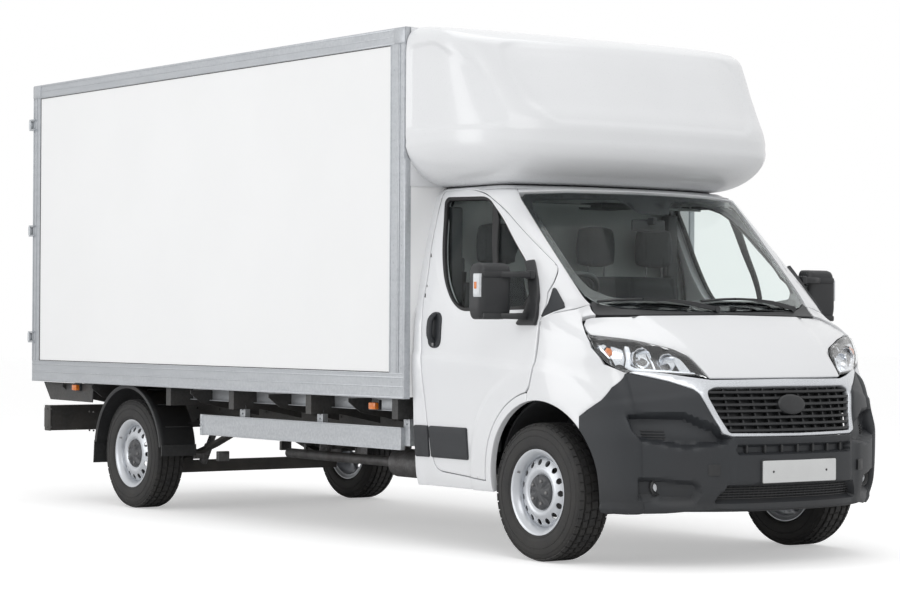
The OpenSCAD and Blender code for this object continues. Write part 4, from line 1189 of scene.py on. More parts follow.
def buildPod():
    bm = bmesh.new()
    heights = [2045, 2050, 2056, 2064, 2075, 2090, 2110, 2135, 2165, 2200, 2235, 2270, 2300,
        2325] + list(range(2340, 2400, 8)) \
        + list(range(2400, 2780, 24)) + list(range(2780, 2870, 9)) + [2876, 2892, 2906, 2918, 2928, 2936, 2943, 2948]
    rings = []
    for z in heights:
        ring = podOutline(z, 0)
        count = len(ring)
        side = signedDistances(sideHollow, [(p.y, z) for p in ring])
        nose = signedDistances(noseHollow, [(p.x, z) for p in ring])
        moved = []
        for k, p in enumerate(ring):
            a, b = ring[max(0, k - 1)], ring[min(count - 1, k + 1)]
            n = Vector((b.y - a.y, -(b.x - a.x), 0)).normalized()
            n = n if n.dot(p - Vector((0, 1100, z))) > 0 else -n
            facing = abs(n.x)
            depth = podSettings["sideHollow"] * smoothStep((side[k] + 10) / 30) * smoothStep((facing - 0.6) / 0.25)
            depth = max(depth, podSettings["noseHollow"] * smoothStep((nose[k] + 14) / 44) * smoothStep((0.75 - facing) / 0.2))
            # swage above the underside's curve
            depth += podSettings["swage"] * smoothStep((2322 - z) / 14) * smoothStep((z - 2270) / 20)
            moved.append(p - n * depth)
        rings.append(moved)
    top = rings[-1]
    centre = [Vector((p.x * 0.55, 1110 - (1110 - p.y) * 0.55, 2950)) for p in top]
    inner = [[podPoint(math.radians(k * 4.5), min(z, 2920), podSettings["skin"]) if abs(k) <= 20 else
              Vector((math.copysign(podPoint(math.pi / 2, min(z, 2920), podSettings["skin"]).x, k), 1110,
                  min(z, 2920))) for k in range(-21, 22)]
             for z in (2912, 2850, 2600, 2376, 2230, 2130, 2098)]
    loft(bm, [[tuple(p) for p in r] for r in rings + [centre]], 0, closed=False, caps=False)
    bm.faces.new([bm.verts.new(p) for p in centre])
    bottom = rings[0]
    bm.faces.new([bm.verts.new((p.x * 0.98, p.y + 6, 2046)) for p in bottom])
    # inside faces, seen from the load space
    loft(bm, [[tuple(p) for p in r] for r in inner], 0, closed=False, caps=False)
    for r in (inner[0], inner[-1]):
        bm.faces.new([bm.verts.new(tuple(p)) for p in r])
    # rear flange that closes the edge between the skins
    for sign in (0, -1):
        outerEdge = [r[sign] for r in rings]
        innerX = inner[3][sign].x
        loft(bm, [[tuple(p) for p in outerEdge], [(innerX, 1110, p.z) for p in outerEdge]], 0, closed=False, caps=False)
    finish(bm, "pod.shell", "moulded", "chassis", smooth=40, normals=True, replace=("luton_pod",))
    # the seal where the pod sits on the cab
    bm = bmesh.new()
    path = [tuple(Vector((p.x * 0.995, p.y + 2, 2044))) for p in podOutline(2045, 0, 40)]
    tube(bm, path, 6, 8)
    finish(bm, "pod.seal", "seal", "chassis")


# Load body.
boxSettings = {"rivetPitch": 100, "rivetRows": 19, "roofBows": 8, "lashingHeights": (1250, 1800),
    "hingeHeights": (1150, 1910, 2670)}


def rivetHead(bm, x, s, z, facing="x", r=5.5, mat=0):
    sign = 1 if (x > 0 if facing == "x" else facing == "rear") else -1
    profile = [(0, 2.6 * sign), (r * 0.6, 2.1 * sign), (r, 0), (0, -0.6 * sign)]
    lathe(bm, profile, (x, s, z), "x" if facing == "x" else "s", 8, mat, closed=False)


def buildBoxTrim():
    # lips, grooves and rivets on the extruded frame; one side is built and mirrored
    bm = bmesh.new()
    x = boxHalf
    for z0, z1, t in ((838, 848, 4), (900, 908, 3.5), (952, 962, 3.5), (976, 982, 3), (boxTop - 14, boxTop - 2, 2.5),
        (roofEdge + 2, roofEdge + 10, 3), (roofEdge + 44, roofEdge + 50, 2.5)):
        block(bm, x - 2, x + t, boxFront + 4, boxRear - 4, z0, z1, 1.6)
    for s, w, t in ((boxFront + 6, 10, 4), (boxFront + 52, 12, 5), (boxFront + 66, 12, 5), (boxFront + 138, 8, 3),
        (boxRear - 106, 8, 3), (boxRear - 58, 10, 4), (boxRear - 14, 10, 4)):
        block(bm, x - 2, x + t, s, s + w, 984, roofEdge, 1.6)
    # front corner post rolls round to the front wall
    block(bm, x - 34, x + 3, boxFront - 6, boxFront + 10, boxBase + 4, 2200, 3)
    # corner castings
    for s in (boxFront + 2, boxRear - 112):
        block(bm, x - 3, x + 6, s, s + 110, boxTop - 92, boxTop - 4, 4)
    finish(bm, "box.rails", "alloy", "chassis", both=True)
    bm = bmesh.new()
    for s in (boxFront + 120, boxFront + 124, boxRear - 60):
        for z in (872, 930, roofEdge + 27):
            rivetHead(bm, x, s, z)
    for k in range(boxSettings["rivetRows"]):
        z = 1010 + k * boxSettings["rivetPitch"]
        for s in (boxFront + 30, boxFront + 112, boxRear - 82, boxRear - 30):
            rivetHead(bm, x, s, z)
    finish(bm, "box.rivets", "rivet", "chassis", both=True)
    bm = bmesh.new()
    # mastic line round each side panel, and the roof seam
    for s0, s1, z0, z1 in ((boxFront + 150, boxRear - 110, 983, 987),
        (boxFront + 150, boxRear - 110, roofEdge - 5, roofEdge - 1)):
        block(bm, x - 6, x - 1.5, s0, s1, z0, z1, 1)
    for s in (boxFront + 148, boxRear - 114):
        block(bm, x - 6, x - 1.5, s, s + 4, 984, roofEdge, 1)
    finish(bm, "box.mastic", "seal", "chassis", both=True)
    bm = bmesh.new()
    # roof bows show as faint ridges
    for k in range(boxSettings["roofBows"]):
        s = boxFront + 320 + k * 560
        block(bm, -1040, 1040, s, s + 40, boxTop - 6, boxTop - 1, 1.5)
    finish(bm, "box.roofSeams", "panel", "chassis")
    bm = bmesh.new()
    # load lashing rails inside
    for x0, x1 in ((-1056, -1046), (1046, 1056)):
        for z in boxSettings["lashingHeights"]:
            block(bm, x0, x1, boxFront + 40, boxRear - 130, z, z + 90, 3)
            for k in range(30):
                block(bm, x0 - 2, x1 + 2, boxFront + 120 + k * 145, boxFront + 138 + k * 145, z + 30, z + 60, 2)
    finish(bm, "box.lashingRails", "alloy", "chassis")


def buildRear():
    # twin doors: frame, hinges, lock bars
    for side in (-1, 1):
        name = "Right" if side < 0 else "Left"
        body = "box_door_" + name.lower()
        bm = bmesh.new()
        w, s = 975, boxRear
        for x0, x1, z0, z1 in ((4, 34, 972, 2848), (w - 34, w - 2, 972, 2848), (4, w - 2, 972, 1008),
            (4, w - 2, 2812, 2848)):
            block(bm, x0, x1, s - 3, s + 4, z0, z1, 2, 0)
        for z in boxSettings["hingeHeights"]:
            # strap, knuckle and bolts
            block(bm, w - 230, w + 10, s - 1, s + 8, z - 26, z + 26, 3, 1)
            block(bm, w + 8, boxHalf + 16, s + 4, s + 9.5, z - 26, z + 26, 2, 1)
            lathe(bm, [(6.5, -29), (11.5, -29), (11.5, 29), (6.5, 29)], (boxHalf + 16, s + 16, z), "z", 24, 1)
            for x in (w - 200, w - 150, w - 60, w - 20):
                rivetHead(bm, x, s + 8, z, "rear", 9, 1)
        # lock bar with cams, guides and handle
        bar = w - 220
        tube(bm, [(bar, s + 22, 988), (bar, s + 22, 2836)], 12, 16, 1)
        for z in (1010, 1500, 2200, 2810):
            block(bm, bar - 34, bar + 34, s + 2, s + 8, z - 24, z + 24, 3, 1)
            block(bm, bar - 17, bar + 17, s + 6, s + 36, z - 14, z + 14, 5, 1)
        path = [(bar, s + 34, 1330), (bar - 40, s + 40, 1330), (bar - 60, s + 34, 1336), (bar - 330, s + 24, 1336)]
        tube(bm, bend(path, 24), 9, 12, 1)
        block(bm, bar - 350, bar - 270, s + 2, s + 18, 1306, 1366, 5, 1)
        if side < 0:
            for v in bm.verts:
                v.co.x = -v.co.x
        finish(bm, "rearDoor%s.fittings" % name, ["alloy", "rivet"], body)
        bm = bmesh.new()
        for a, b in (((1, 970), (1, 2850)), ((1, 969), (w, 969)), ((1, 2851), (w, 2851)), ((w - 1, 970), (w - 1, 2850))):
            tube(bm, [(a[0] + 3, s - 4, a[1]), (b[0] + 3 if b[0] == 1 else b[0] - 3, s - 4, b[1])], 5, 8)
        if side < 0:
            for v in bm.verts:
                v.co.x = -v.co.x
        finish(bm, "rearDoor%s.seal" % name, "seal", body)
    # lamps, number plate and buffers on the rear beam
    bm = bmesh.new()
    s = boxRear - 30
    for sx in (-1, 1):
        for x0, x1, m in ((700, 778, 1), (780, 858, 0), (860, 938, 2), (640, 698, 0)):
            block(bm, *sorted((sx * x0, sx * x1)), s - 2, s + 16, 585, 645, 5, m)
        block(bm, *sorted((sx * 1012, sx * 1060)), boxRear - 4, boxRear + 8, 2880, 2908, 4, 0)
    block(bm, -130, 130, s - 2, s + 8, 500, 510, 2, 2)
    finish(bm, "rear.lamps", ["red", "orange", "lens"], "chassis")
    bm = bmesh.new()
    for sx in (-1, 1):
        block(bm, *sorted((sx * 632, sx * 946)), s - 8, s + 6, 576, 654, 6)
        block(bm, *sorted((sx * 955, sx * 998)), s - 4, s + 22, 500, 645, 8)
        block(bm, *sorted((sx * 430, sx * 560)), s - 6, s + 18, 560, 590, 6)
    finish(bm, "rear.lampHousings", "black", "chassis")
    bm = bmesh.new()
    flat = roundLoop([(-260, 512), (260, 512), (260, 622), (-260, 622)], 8)
    loft(bm, [[(x, s + 7, z) for x, z in grow(flat, -2)], [(x, s + 5, z) for x, z in flat],
        [(x, s - 1, z) for x, z in flat]])
    finish(bm, "rear.plate", "plate", "chassis")


buildPod()
buildBoxTrim()
buildRear()
print("load body built")


# Wheels: one tyre and one rim, built for each corner.
wheelSettings = {"treadCuts": 96, "holes": 15, "holeRadius": 16.5, "holeCircle": 160, "capHollow": 11}


def buildWheel(tag, x, s, body, side):
    # tyre: bulged walls with ribs, and a tread of blocks between four grooves
    bm = bmesh.new()
    wall = [(204, 84), (214, 92), (229, 96), (236, 104), (250, 110), (270, 112.5), (292, 112), (312, 109.5), (330, 106),
        (342, 101), (352, 95)]
    count = wheelSettings["treadCuts"]
    grooves = (-66, -24, 24, 66)
    tread = [(361, 84)]
    for g in reversed(grooves):
        tread += [(366 - abs(g + 5) * 0.03, g + 5), (357, g + 3.5), (357, g - 3.5), (366 - abs(g - 5) * 0.03, g - 5)]
    tread += [(361, -84)]
    profile = wall + tread + [(r, -t) for r, t in reversed(wall)]
    profile += [(203, -60), (203, 60)]
    lathe(bm, profile, (0, 0, 0), "x", count * 2)
    # shoulder blocks and sipes across the ribs
    for k in range(count // 2):
        a = 2 * math.pi * k / (count // 2)
        turn = Matrix.Rotation(a, 4, "X")
        for sx in (-1, 1):
            bmesh.ops.create_cube(bm, size=1,
                matrix=turn @ Matrix.Translation((sx * 86, 0, 361.5)) @ Matrix.Rotation(sx * 0.36, 4,
                "Y") @ Matrix.Diagonal((22, 41, 7, 1)))
        for t, wide in ((-45, 30), (0, 36), (45, 30)):
            bmesh.ops.create_cube(bm, size=1, matrix=turn @ Matrix.Rotation(2 * math.pi / count * (0.5 if t else 0), 4, "X")
                                  @ Matrix.Translation((t, 0, 364.5)) @ Matrix.Rotation(0.16, 4,
                                      "Z") @ Matrix.Diagonal((wide, 39, 9, 1)))
    # rings moulded on the walls
    for sx in (-1, 1):
        for r, t in ((243, 107.6), (300, 112.2), (333, 105.8)):
            lathe(bm, [(r - 2.5, sx * (t - 2)), (r, sx * (t + 1.6)), (r + 2.5, sx * (t - 2))], (0, 0, 0), "x", count)
    for v in bm.verts:
        v.co = Vector((v.co.x + x, v.co.y + s, v.co.z + axleZ))
    finish(bm, tag + ".tyre", "rubber", body, smooth=40, replace=(nodeOf(tag, "tyre"),))

    bm = bmesh.new()
    d = side
    barrel = [(230, 101), (230, 95), (222, 90), (206, 86), (199, 66), (195, 50), (195, -60), (206, -86), (222, -92),
        (230, -96), (230, -101),
              (224, -101), (216, -94), (200, -90), (189, -60), (188, 46), (191, 64), (198, 80), (214, 96), (224, 101)]
    lathe(bm, [(r, t * d) for r, t in barrel], (0, 0, 0), "x", 96)
    # disc with a ring of round holes: rings of points warp round each hole
    holes, holeR, pitch = wheelSettings["holes"], wheelSettings["holeRadius"], wheelSettings["holeCircle"]
    radial = [(198, 34), (192, 44), (186, 52), (178, 60), (160, 70), (140, 79), (128, 83), (116, 84), (106, 81), (98, 74),
        (92, 68), (70, 66)]
    per = 12
    around = holes * per

    def discPoint(r, angle, back):
        t = radial[-1][1]
        for (r1, t1), (r2, t2) in zip(radial, radial[1:]):
            if r2 <= r <= r1:
                t = t1 + (t2 - t1) * (r1 - r) / (r1 - r2)
        return ((t - back) * d, r * math.cos(angle), r * math.sin(angle))

    def ringOf(r, back):
        return [bm.verts.new(discPoint(r, 2 * math.pi * k / around, back)) for k in range(around)]

    def join(a, b):
        n = len(a)
        for k in range(n):
            bm.faces.new([a[k], a[(k + 1) % n], b[(k + 1) % n], b[k]])

    layers = []
    for back in (0, 5):
        outer = [ringOf(r, back) for r in (198, 194, 190, 185)]
        inner = [ringOf(r, back) for r in (135, 128, 120, 110, 102, 94, 70)]
        for a, b in zip(outer, outer[1:]):
            join(a, b)
        for a, b in zip(inner, inner[1:]):
            join(a, b)
        rims = []
        for h in range(holes):
            # between the two rings each hole sits in its own sector, filled as a fan of quads
            middle = 2 * math.pi * (h + 0.5) / holes
            loop = []
            first = h * per
            loop += [outer[-1][(first + k) % around] for k in range(per + 1)]
            sides = 3
            a1, a0 = 2 * math.pi * (first + per) / around, 2 * math.pi * first / around
            keyR = [185 - (185 - 135) * k / (sides + 1) for k in range(1, sides + 1)]
            loop += [(r, a1) for r in keyR]
            loop += [inner[0][(first + per - k) % around] for k in range(per + 1)]
            loop += [(r, a0) for r in reversed(keyR)]
            rims.append((loop, middle))
        spokes = [[bm.verts.new(discPoint(185 - 12.5 * k, 2 * math.pi * h * per / around, back)) for k in range(1,
            4)] for h in range(holes)]
        edges = []
        for h, (loop, middle) in enumerate(rims):
            real = []
            nextSpoke, thisSpoke = spokes[(h + 1) % holes], spokes[h]
            for item in loop:
                if isinstance(item, tuple):
                    k = round((185 - item[0]) / 12.5) - 1
                    real.append(nextSpoke[k] if item[1] > middle else thisSpoke[k])
                else:
                    real.append(item)
            ring = []
            for v in real:
                y, z = v.co.y - pitch * math.cos(middle), v.co.z - pitch * math.sin(middle)
                f = holeR / math.hypot(y, z)
                cy, cz = pitch * math.cos(middle) + y * f, pitch * math.sin(middle) + z * f
                r = math.hypot(cy, cz)
                ring.append(bm.verts.new(discPoint(r, math.atan2(cz, cy), back)))
            n = len(real)
            for k in range(n):
                bm.faces.new([real[k], real[(k + 1) % n], ring[(k + 1) % n], ring[k]])
            edges.append(ring)
        layers.append((outer[0], inner[-1], edges))
    for a, b in zip(layers[0][2], layers[1][2]):
        join(a, b)
    join(layers[0][0], layers[1][0])
    join(layers[0][1], layers[1][1])
    # hub flange
    lathe(bm, [(0, 66), (62, 66), (70, 68), (72, 70), (72, 62), (0, 60)] if d > 0 else [(0, -66), (62, -66), (70, -68),
        (72, -70), (72, -62), (0, -60)],
          (0, 0, 0), "x", 48, closed=False)
    for v in bm.verts:
        v.co = Vector((v.co.x + x, v.co.y + s, v.co.z + axleZ))
    finish(bm, tag + ".rim", "wheel", body, smooth=38, replace=(nodeOf(tag, "rim"),))

    bm = bmesh.new()
    # dark centre cap with five hollows, bolts round it
    rings = []
    for r, t in ((94, 64), (93, 76), (88, 82), (76, 86), (60, 88), (44, 89), (28, 90), (12, 91)):
        ring = []
        for k in range(60):
            a = 2 * math.pi * k / 60
            dip = wheelSettings["capHollow"] * max(0.0, math.cos(5 * a)) ** 1.5 * (1 if 40 < r < 92 else 0)
            ring.append(((t - dip) * d, r * math.cos(a), r * math.sin(a)))
        rings.append(ring)
    loft(bm, rings)
    for k in range(5):
        a = 2 * math.pi * (k + 0.5) / 5
        lathe(bm, [(0, 97 * d), (8, 96 * d), (10, 93 * d), (10, 80 * d), (0, 80 * d)],
            (0, 62 * math.cos(a), 62 * math.sin(a)), "x", 6, 1, closed=False)
    tube(bm, [(84 * d, 170, 95), (98 * d, 178, 99)], 4, 8, 1)
    for v in bm.verts:
        v.co = Vector((v.co.x + x, v.co.y + s, v.co.z + axleZ))
    finish(bm, tag + ".cap", ["cap", "metal"], body)


def nodeOf(tag, part):
    # "frontWheelLeft" stands for the nodes front_tyre_left and front_rim_left
    end, side = ("front" if tag.startswith("front") else "rear"), ("left" if tag.endswith("Left") else "right")
    return "%s_%s_%s" % (end, part, side)


for end, x, s in (("front", frontX, 0), ("rear", rearX, wheelbase)):
    for side, name in ((-1, "Right"), (1, "Left")):
        buildWheel(end + "Wheel" + name, side * x, s, "%s_wheel_%s" % (end, name.lower()), side)
print("wheels built")


# Seats: each pad is a crowned form, puffed as cloth, then given its sewn channels.
seatSettings = {"driverX": -560, "driverWidth": 484, "benchX": 400, "benchWidth": 920, "bolster": 46, "channel": 5.0,
    "pressure": 4.0}


def padForm(w, d, h, bolster, taper=0.03, split=False, rounding=0.10):
    # closed pad lying flat: x across, y its length, z its thickness, with raised side bolsters
    across, along = max(18, int(w / 14)), int(d / 14)
    top, low = [], []
    for j in range(along + 1):
        v = -1 + 2 * j / along
        rowTop, rowLow = [], []
        for i in range(across + 1):
            u = -1 + 2 * i / across
            # rounded plan, pulled in between the corners
            x = u * w / 2 * math.sqrt(1 - rounding * v * v) * (1 - taper * (v + 1) / 2) * (1 - 0.03 * (1 - v * v) * abs(u) ** 6)
            y = v * d / 2 * math.sqrt(1 - rounding * u * u) * (1 - 0.03 * (1 - u * u) * abs(v) ** 6)
            edge = min(1.0, 1.12 - max(abs(u), abs(v)) ** 7)
            side = min(1.0, max(0.0, (abs(u) * w / 2 - (w / 2 - bolster - 34)) / 30)) if bolster else 0
            lift = 0.20 * h * side
            if split:
                lift -= 0.16 * h * math.exp(-((x / 16) ** 2))
            z = h * (0.5 * edge ** 0.7) + lift * edge
            rowTop.append((x, y, z))
            rowLow.append((x, y, -h * 0.5 * edge ** 0.7))
        top.append(rowTop)
        low.append(rowLow)
    bm = bmesh.new()
    grids = [[[bm.verts.new(p) for p in row] for row in part] for part in (top, low)]
    for j in range(along):
        for i in range(across):
            a = grids[0]
            bm.faces.new([a[j][i], a[j][i + 1], a[j + 1][i + 1], a[j + 1][i]])
            a = grids[1]
            bm.faces.new([a[j][i], a[j + 1][i], a[j + 1][i + 1], a[j][i + 1]])
    ring = [(j, 0) for j in range(along)] + [(along, i) for i in range(across)] + [(j, across) for j in range(along, 0,
        -1)] + [(0, i) for i in range(across, 0, -1)]
    for (j, i), (q, p) in zip(ring, ring[1:] + ring[:1]):
        bm.faces.new([grids[0][j][i], grids[0][q][p], grids[1][q][p], grids[1][j][i]])
    bmesh.ops.recalc_face_normals(bm, faces=bm.faces)
    return bm


def puff(bm, name, voxel, cap):
    # cloth run on a remeshed copy, its result kept as plain mesh; all in mm until the end
    mesh = bpy.data.meshes.new(name)
    for v in bm.verts:
        v.co = v.co / 1000
    bm.to_mesh(mesh)
    bm.free()
    pad = bpy.data.objects.new(name, mesh)
    bpy.context.scene.collection.objects.link(pad)
    bpy.context.view_layer.objects.active = pad
    pad.select_set(True)
    remesh = pad.modifiers.new("remesh", "REMESH")
    remesh.mode, remesh.voxel_size = "VOXEL", voxel
    bpy.ops.object.modifier_apply(modifier="remesh")
    start = [v.co.copy() for v in pad.data.vertices]
    cloth = pad.modifiers.new("cloth", "CLOTH")
    cloth.settings.use_pressure = True
    cloth.settings.uniform_pressure_force = seatSettings["pressure"]
    cloth.settings.effector_weights.gravity = 0
    cloth.settings.quality = 4
    cloth.point_cache.frame_start, cloth.point_cache.frame_end = 1, 20
    for step in range(1, 21):
        bpy.context.scene.frame_set(step)
    bpy.ops.object.modifier_apply(modifier="cloth")
    bpy.context.scene.frame_set(1)
    for v, before in zip(pad.data.vertices, start):
        move = v.co - before
        if move.length > cap:
            v.co = before + move.normalized() * cap
    out = [v.co * 1000 for v in pad.data.vertices]
    faces = [tuple(p.vertices) for p in pad.data.polygons]
    bpy.data.objects.remove(pad)
    return out, faces


def stitched(shape, lines, depth):
    # channels sewn across the upper face at the given places
    points, faces = shape
    out = []
    for p in points:
        if p.z > 0:
            dip = 0.0
            for kind, place, reach in lines:
                gap = abs((p.x if kind == "x" else p.y) - place)
                across = abs(p.y if kind == "x" else p.x)
                dip = max(dip, depth * math.exp(-(gap / 5.5) ** 2) * smoothStep((reach - across) / 12))
            p = Vector((p.x, p.y, p.z - dip))
        out.append(p)
    return out, faces


def setPad(name, shape, move, divide=False):
    bm = bmesh.new()
    points, faces = shape
    place(bm, ([tuple(move(p)) for p in points], faces))
    piece = finish(bm, name, "cloth", "chassis", smooth=60)
    if divide:
        smooth = piece.modifiers.new("smooth", "SUBSURF")
        smooth.levels = smooth.render_levels = 1
        bpy.context.view_layer.objects.active = piece
        bpy.ops.object.modifier_apply(modifier="smooth")
    return piece


def buildSeats():
    voxel = 0.006
    bolster = seatSettings["bolster"]

    def cushionAt(cx):
        return lambda p: Vector((cx + p.x, 712 + p.y, 812 + p.z * 0.92 - p.y * 0.05))

    def backAt(cx):
        tilt = math.radians(5)
        return lambda p: Vector((cx + p.x, 925 - p.z * 0.72 + p.y * math.tan(tilt) * 0.55, 1232 + p.y))

    def headAt(cx):
        return lambda p: Vector((cx + p.x, 948 - p.z * 0.66, 1722 + p.y))

    wide = [("driver", seatSettings["driverX"], seatSettings["driverWidth"], False),
        ("bench", seatSettings["benchX"], seatSettings["benchWidth"], True)]
    headShape = puff(padForm(300, 242, 104, 0, taper=0.06, rounding=0.26), "headForm", voxel, 0.016)
    headShape = stitched(headShape, [("x", -96, 84), ("x", 96, 84)], 4)
    for name, cx, w, split in wide:
        cushion = puff(padForm(w - 24, 470, 118, bolster, split=split), name + "CushionForm", voxel, 0.018)
        half = w / 2 - 24 - bolster
        lines = [("x", -half, 190), ("x", half, 190), ("y", -20, half), ("y", 95, half), ("y", -120, half)]
        cushion = stitched(cushion, lines, seatSettings["channel"])
        setPad("seat.%s.cushion" % name, cushion, cushionAt(cx))
        back = puff(padForm(w - 26, 690, 112, bolster, taper=0.10, split=split), name + "BackForm", voxel, 0.018)
        lines = [("x", -half + 6, 280), ("x", half - 6, 280), ("y", -140, half), ("y", 20, half), ("y", 180, half)]
        back = stitched(back, lines, seatSettings["channel"])
        setPad("seat.%s.back" % name, back, backAt(cx))
        bm = bmesh.new()
        # plinth, side cover and headrest posts
        block(bm, cx - w / 2 + 42, cx + w / 2 - 42, 524, 936, 482, 744, 12)
        block(bm, cx - w / 2 + 6, cx + w / 2 - 6, 500, 950, 700, 762, 18)
        block(bm, cx - w / 2 + 26, cx + w / 2 - 26, 955, 985, 760, 1500, 14)
        heads = [0] if not split else [-230, 220]
        for c in heads:
            for x in (-60, 60):
                tube(bm, [(cx + c + x, 944, 1490), (cx + c + x, 944, 1690)], 6, 12, 1)
                lathe(bm, [(0, 0), (13, 0), (13, 12), (9, 16), (0, 16)], (cx + c + x, 944, 1524), "z", 16, 0, closed=False)
        if not split:
            lathe(bm, [(0, 0), (28, 0), (32, 6), (32, 18), (26, 24), (0, 24)], (cx + w / 2 - 8, 930, 850), "x", 24, 0,
                closed=False)
        finish(bm, "seat.%s.frame" % name, ["dash", "metal"], "chassis",
               replace=("driver_seat" if name == "driver" else "passenger_bench",))
        for k, c in enumerate(heads):
            setPad("seat.%s.headrest%d" % (name, k + 1), headShape, headAt(cx + c), divide=True)
    # belts run from the door pillar down to the plinth
    bm = bmesh.new()
    for sx in (-1, 1):
        path = [(sx * 764, 985, 1560), (sx * 790, 975, 1300), (sx * 838, 960, 1000), (sx * 846, 940, 700)]
        for a, b in zip(path, path[1:]):
            rows = []
            for p in (a, b):
                rows.append([(p[0], p[1] - 23, p[2]), (p[0], p[1] + 23, p[2]), (p[0] + 1.4, p[1] + 23, p[2]),
                    (p[0] + 1.4, p[1] - 23, p[2])])
            loft(bm, rows)
    finish(bm, "belts", "seal", "chassis")


def buildDash():
    bm = bmesh.new()
    # instrument hood, air vents, screen, switches, glove box seams and the gear console
    hood = [(-770 + 12 * k, 196 + 26 * math.cos(math.pi * (k - 17.5) / 35),
        1312 + 74 * math.sin(math.pi * k / 35) ** 0.6) for k in range(36)]
    loft(bm, [[(x, s - 118, 1302 + (z - 1302) * 0.12) for x, s, z in hood],
        [(x, s - 30, 1302 + (z - 1302) * 0.85) for x, s, z in hood],
              [(x, s + 60, z) for x, s, z in hood], [(x, s + 66, z - 12) for x, s,
                  z in hood], [(x, s + 20, 1302 + (z - 1302) * 0.5) for x, s, z in hood],
              [(x, s + 16, 1304) for x, s, z in hood]], 0, closed=False, caps=False)
    for x in (-860, -270, 70, 800):
        for k in range(5):
            block(bm, x - 62, x + 62, 318, 336, 1196 + k * 14, 1201 + k * 14, 1.2, 0, ("X", 18))
        rim = roundLoop([(x - 72, 1182), (x + 72, 1182), (x + 72, 1266), (x - 72, 1266)], 12)
        tube(bm, [(p[0], 334, p[1]) for p in rim] + [(rim[0][0], 334, rim[0][1])], 4.5, 8)
    block(bm, -190, 0, 330, 352, 1140, 1262, 8, 1)
    block(bm, -196, 6, 322, 346, 1000, 1128, 10, 0)
    for k in range(3):
        lathe(bm, [(0, 0), (22, 0), (20, 16), (15, 20), (0, 20)], (-160 + k * 64, 340, 1060), "s", 24, 1, closed=False)
    rim = roundLoop([(180, 1015), (740, 1015), (740, 1165), (180, 1165)], 22)
    tube(bm, [(p[0], 340 - (1165 - p[1]) * 0.35, p[1]) for p in rim] + [(rim[0][0], 340 - (1165 - rim[0][1]) * 0.35,
        rim[0][1])], 3, 6, 2)
    block(bm, -180, -20, 250, 420, 900, 1010, 16, 0)
    tube(bm, [(-100, 392, 1000), (-100, 420, 1090)], 9, 12, 1)
    lathe(bm, [(0, 0), (17, 3), (24, 20), (24, 40), (16, 54), (0, 58)], (-100, 424, 1086), "z", 20, 1, closed=False)
    for x in (-560 - 70, -560 + 70):
        lathe(bm, [(0, 0), (48, 0), (52, 4), (52, 0), (0, -4)], (x, 262, 1345), "s", 32, 1, closed=False)
    finish(bm, "dash.fittings", ["dash", "gloss", "seal"], "chassis", smooth=40)
    # steering wheel: padded rim, three spokes and a centre pad, turned to its tilt
    bm = bmesh.new()
    ring = []
    for k in range(72):
        a = 2 * math.pi * k / 72
        grip = 15.5 + 2.2 * max(0.0, math.cos(2 * a + 0.5)) ** 4
        ring.append([((195 + grip * math.cos(b)) * math.cos(a), (195 + grip * math.cos(b)) * math.sin(a),
            grip * math.sin(b)) for b in [2 * math.pi * j / 14 for j in range(14)]])
    ring.append(ring[0])
    loft(bm, ring, 0, caps=False)
    bmesh.ops.remove_doubles(bm, verts=bm.verts, dist=0.01)
    for a in (0, 180, 270):
        c, s = math.cos(math.radians(a)), math.sin(math.radians(a))
        rows = []
        for r, w, t, drop in ((40, 44, 20, -26), (90, 36, 16, -22), (140, 26, 13, -12), (188, 22, 12, 0)):
            rows.append([(r * c - w * s * u, r * s + w * c * u, drop + t * v) for u,
                v in ((-0.7, -1), (0.7, -1), (1, -0.5), (1, 0.5), (0.7, 1), (-0.7, 1), (-1, 0.5), (-1, -0.5))])
        loft(bm, rows, 0)
    hub = roundLoop([(-88, -64), (-60, -86), (60, -86), (88, -64), (82, 62), (-82, 62)], 26)
    loft(bm, [[(x, y, -48) for x, y in grow(hub, -10)], [(x, y, -30) for x, y in hub], [(x, y, -8) for x, y in hub],
        [(x * 0.93, y * 0.93, 0) for x, y in hub], [(x * 0.7, y * 0.7, 5) for x, y in hub]], 0)
    lathe(bm, [(0, -40), (30, -40), (30, -150), (0, -150)], (0, 0, 0), "z", 24, 0, closed=False)
    turn = Matrix.Rotation(math.radians(-38), 4, "X")
    for v in bm.verts:
        v.co = turn @ v.co + Vector((-560, 330, 1420))
    finish(bm, "steeringWheel", "dash", "chassis", smooth=45, replace=("steering_wheel",))
    # pillar trims, roof console and sun visors
    bm = bmesh.new()
    block(bm, 850, 930, 1000, 1060, 760, 1320, 14)
    block(bm, 770, 850, 985, 1058, 1320, 1930, 14)
    block(bm, 750, 774, 995, 1030, 1560, 1640, 8)
    finish(bm, "cab.pillarTrims", "dash", "chassis", both=True)
    bm = bmesh.new()
    block(bm, -120, 120, 540, 760, 1926, 1962, 14)
    finish(bm, "cab.console", "dash", "chassis")
    bm = bmesh.new()
    for sx in (-1, 1):
        flat = roundLoop([(sx * 150, 0), (sx * 690, 0), (sx * 660, 130), (sx * 170, 130)], 22)
        loft(bm, [[(x, 590 + s, 1944 + 0.11 * s) for x, s in flat], [(x, 590 + s, 1932 + 0.11 * s) for x, s in flat]])
        path = [(sx * 640, 640, 1950), (sx * 640, 640, 1965), (sx * 560, 640, 1965), (sx * 560, 640, 1950)]
        tube(bm, bend(path, 10), 6, 8)
    finish(bm, "cab.visors", "lining", "chassis")


buildSeats()
buildDash()
print("interior built")


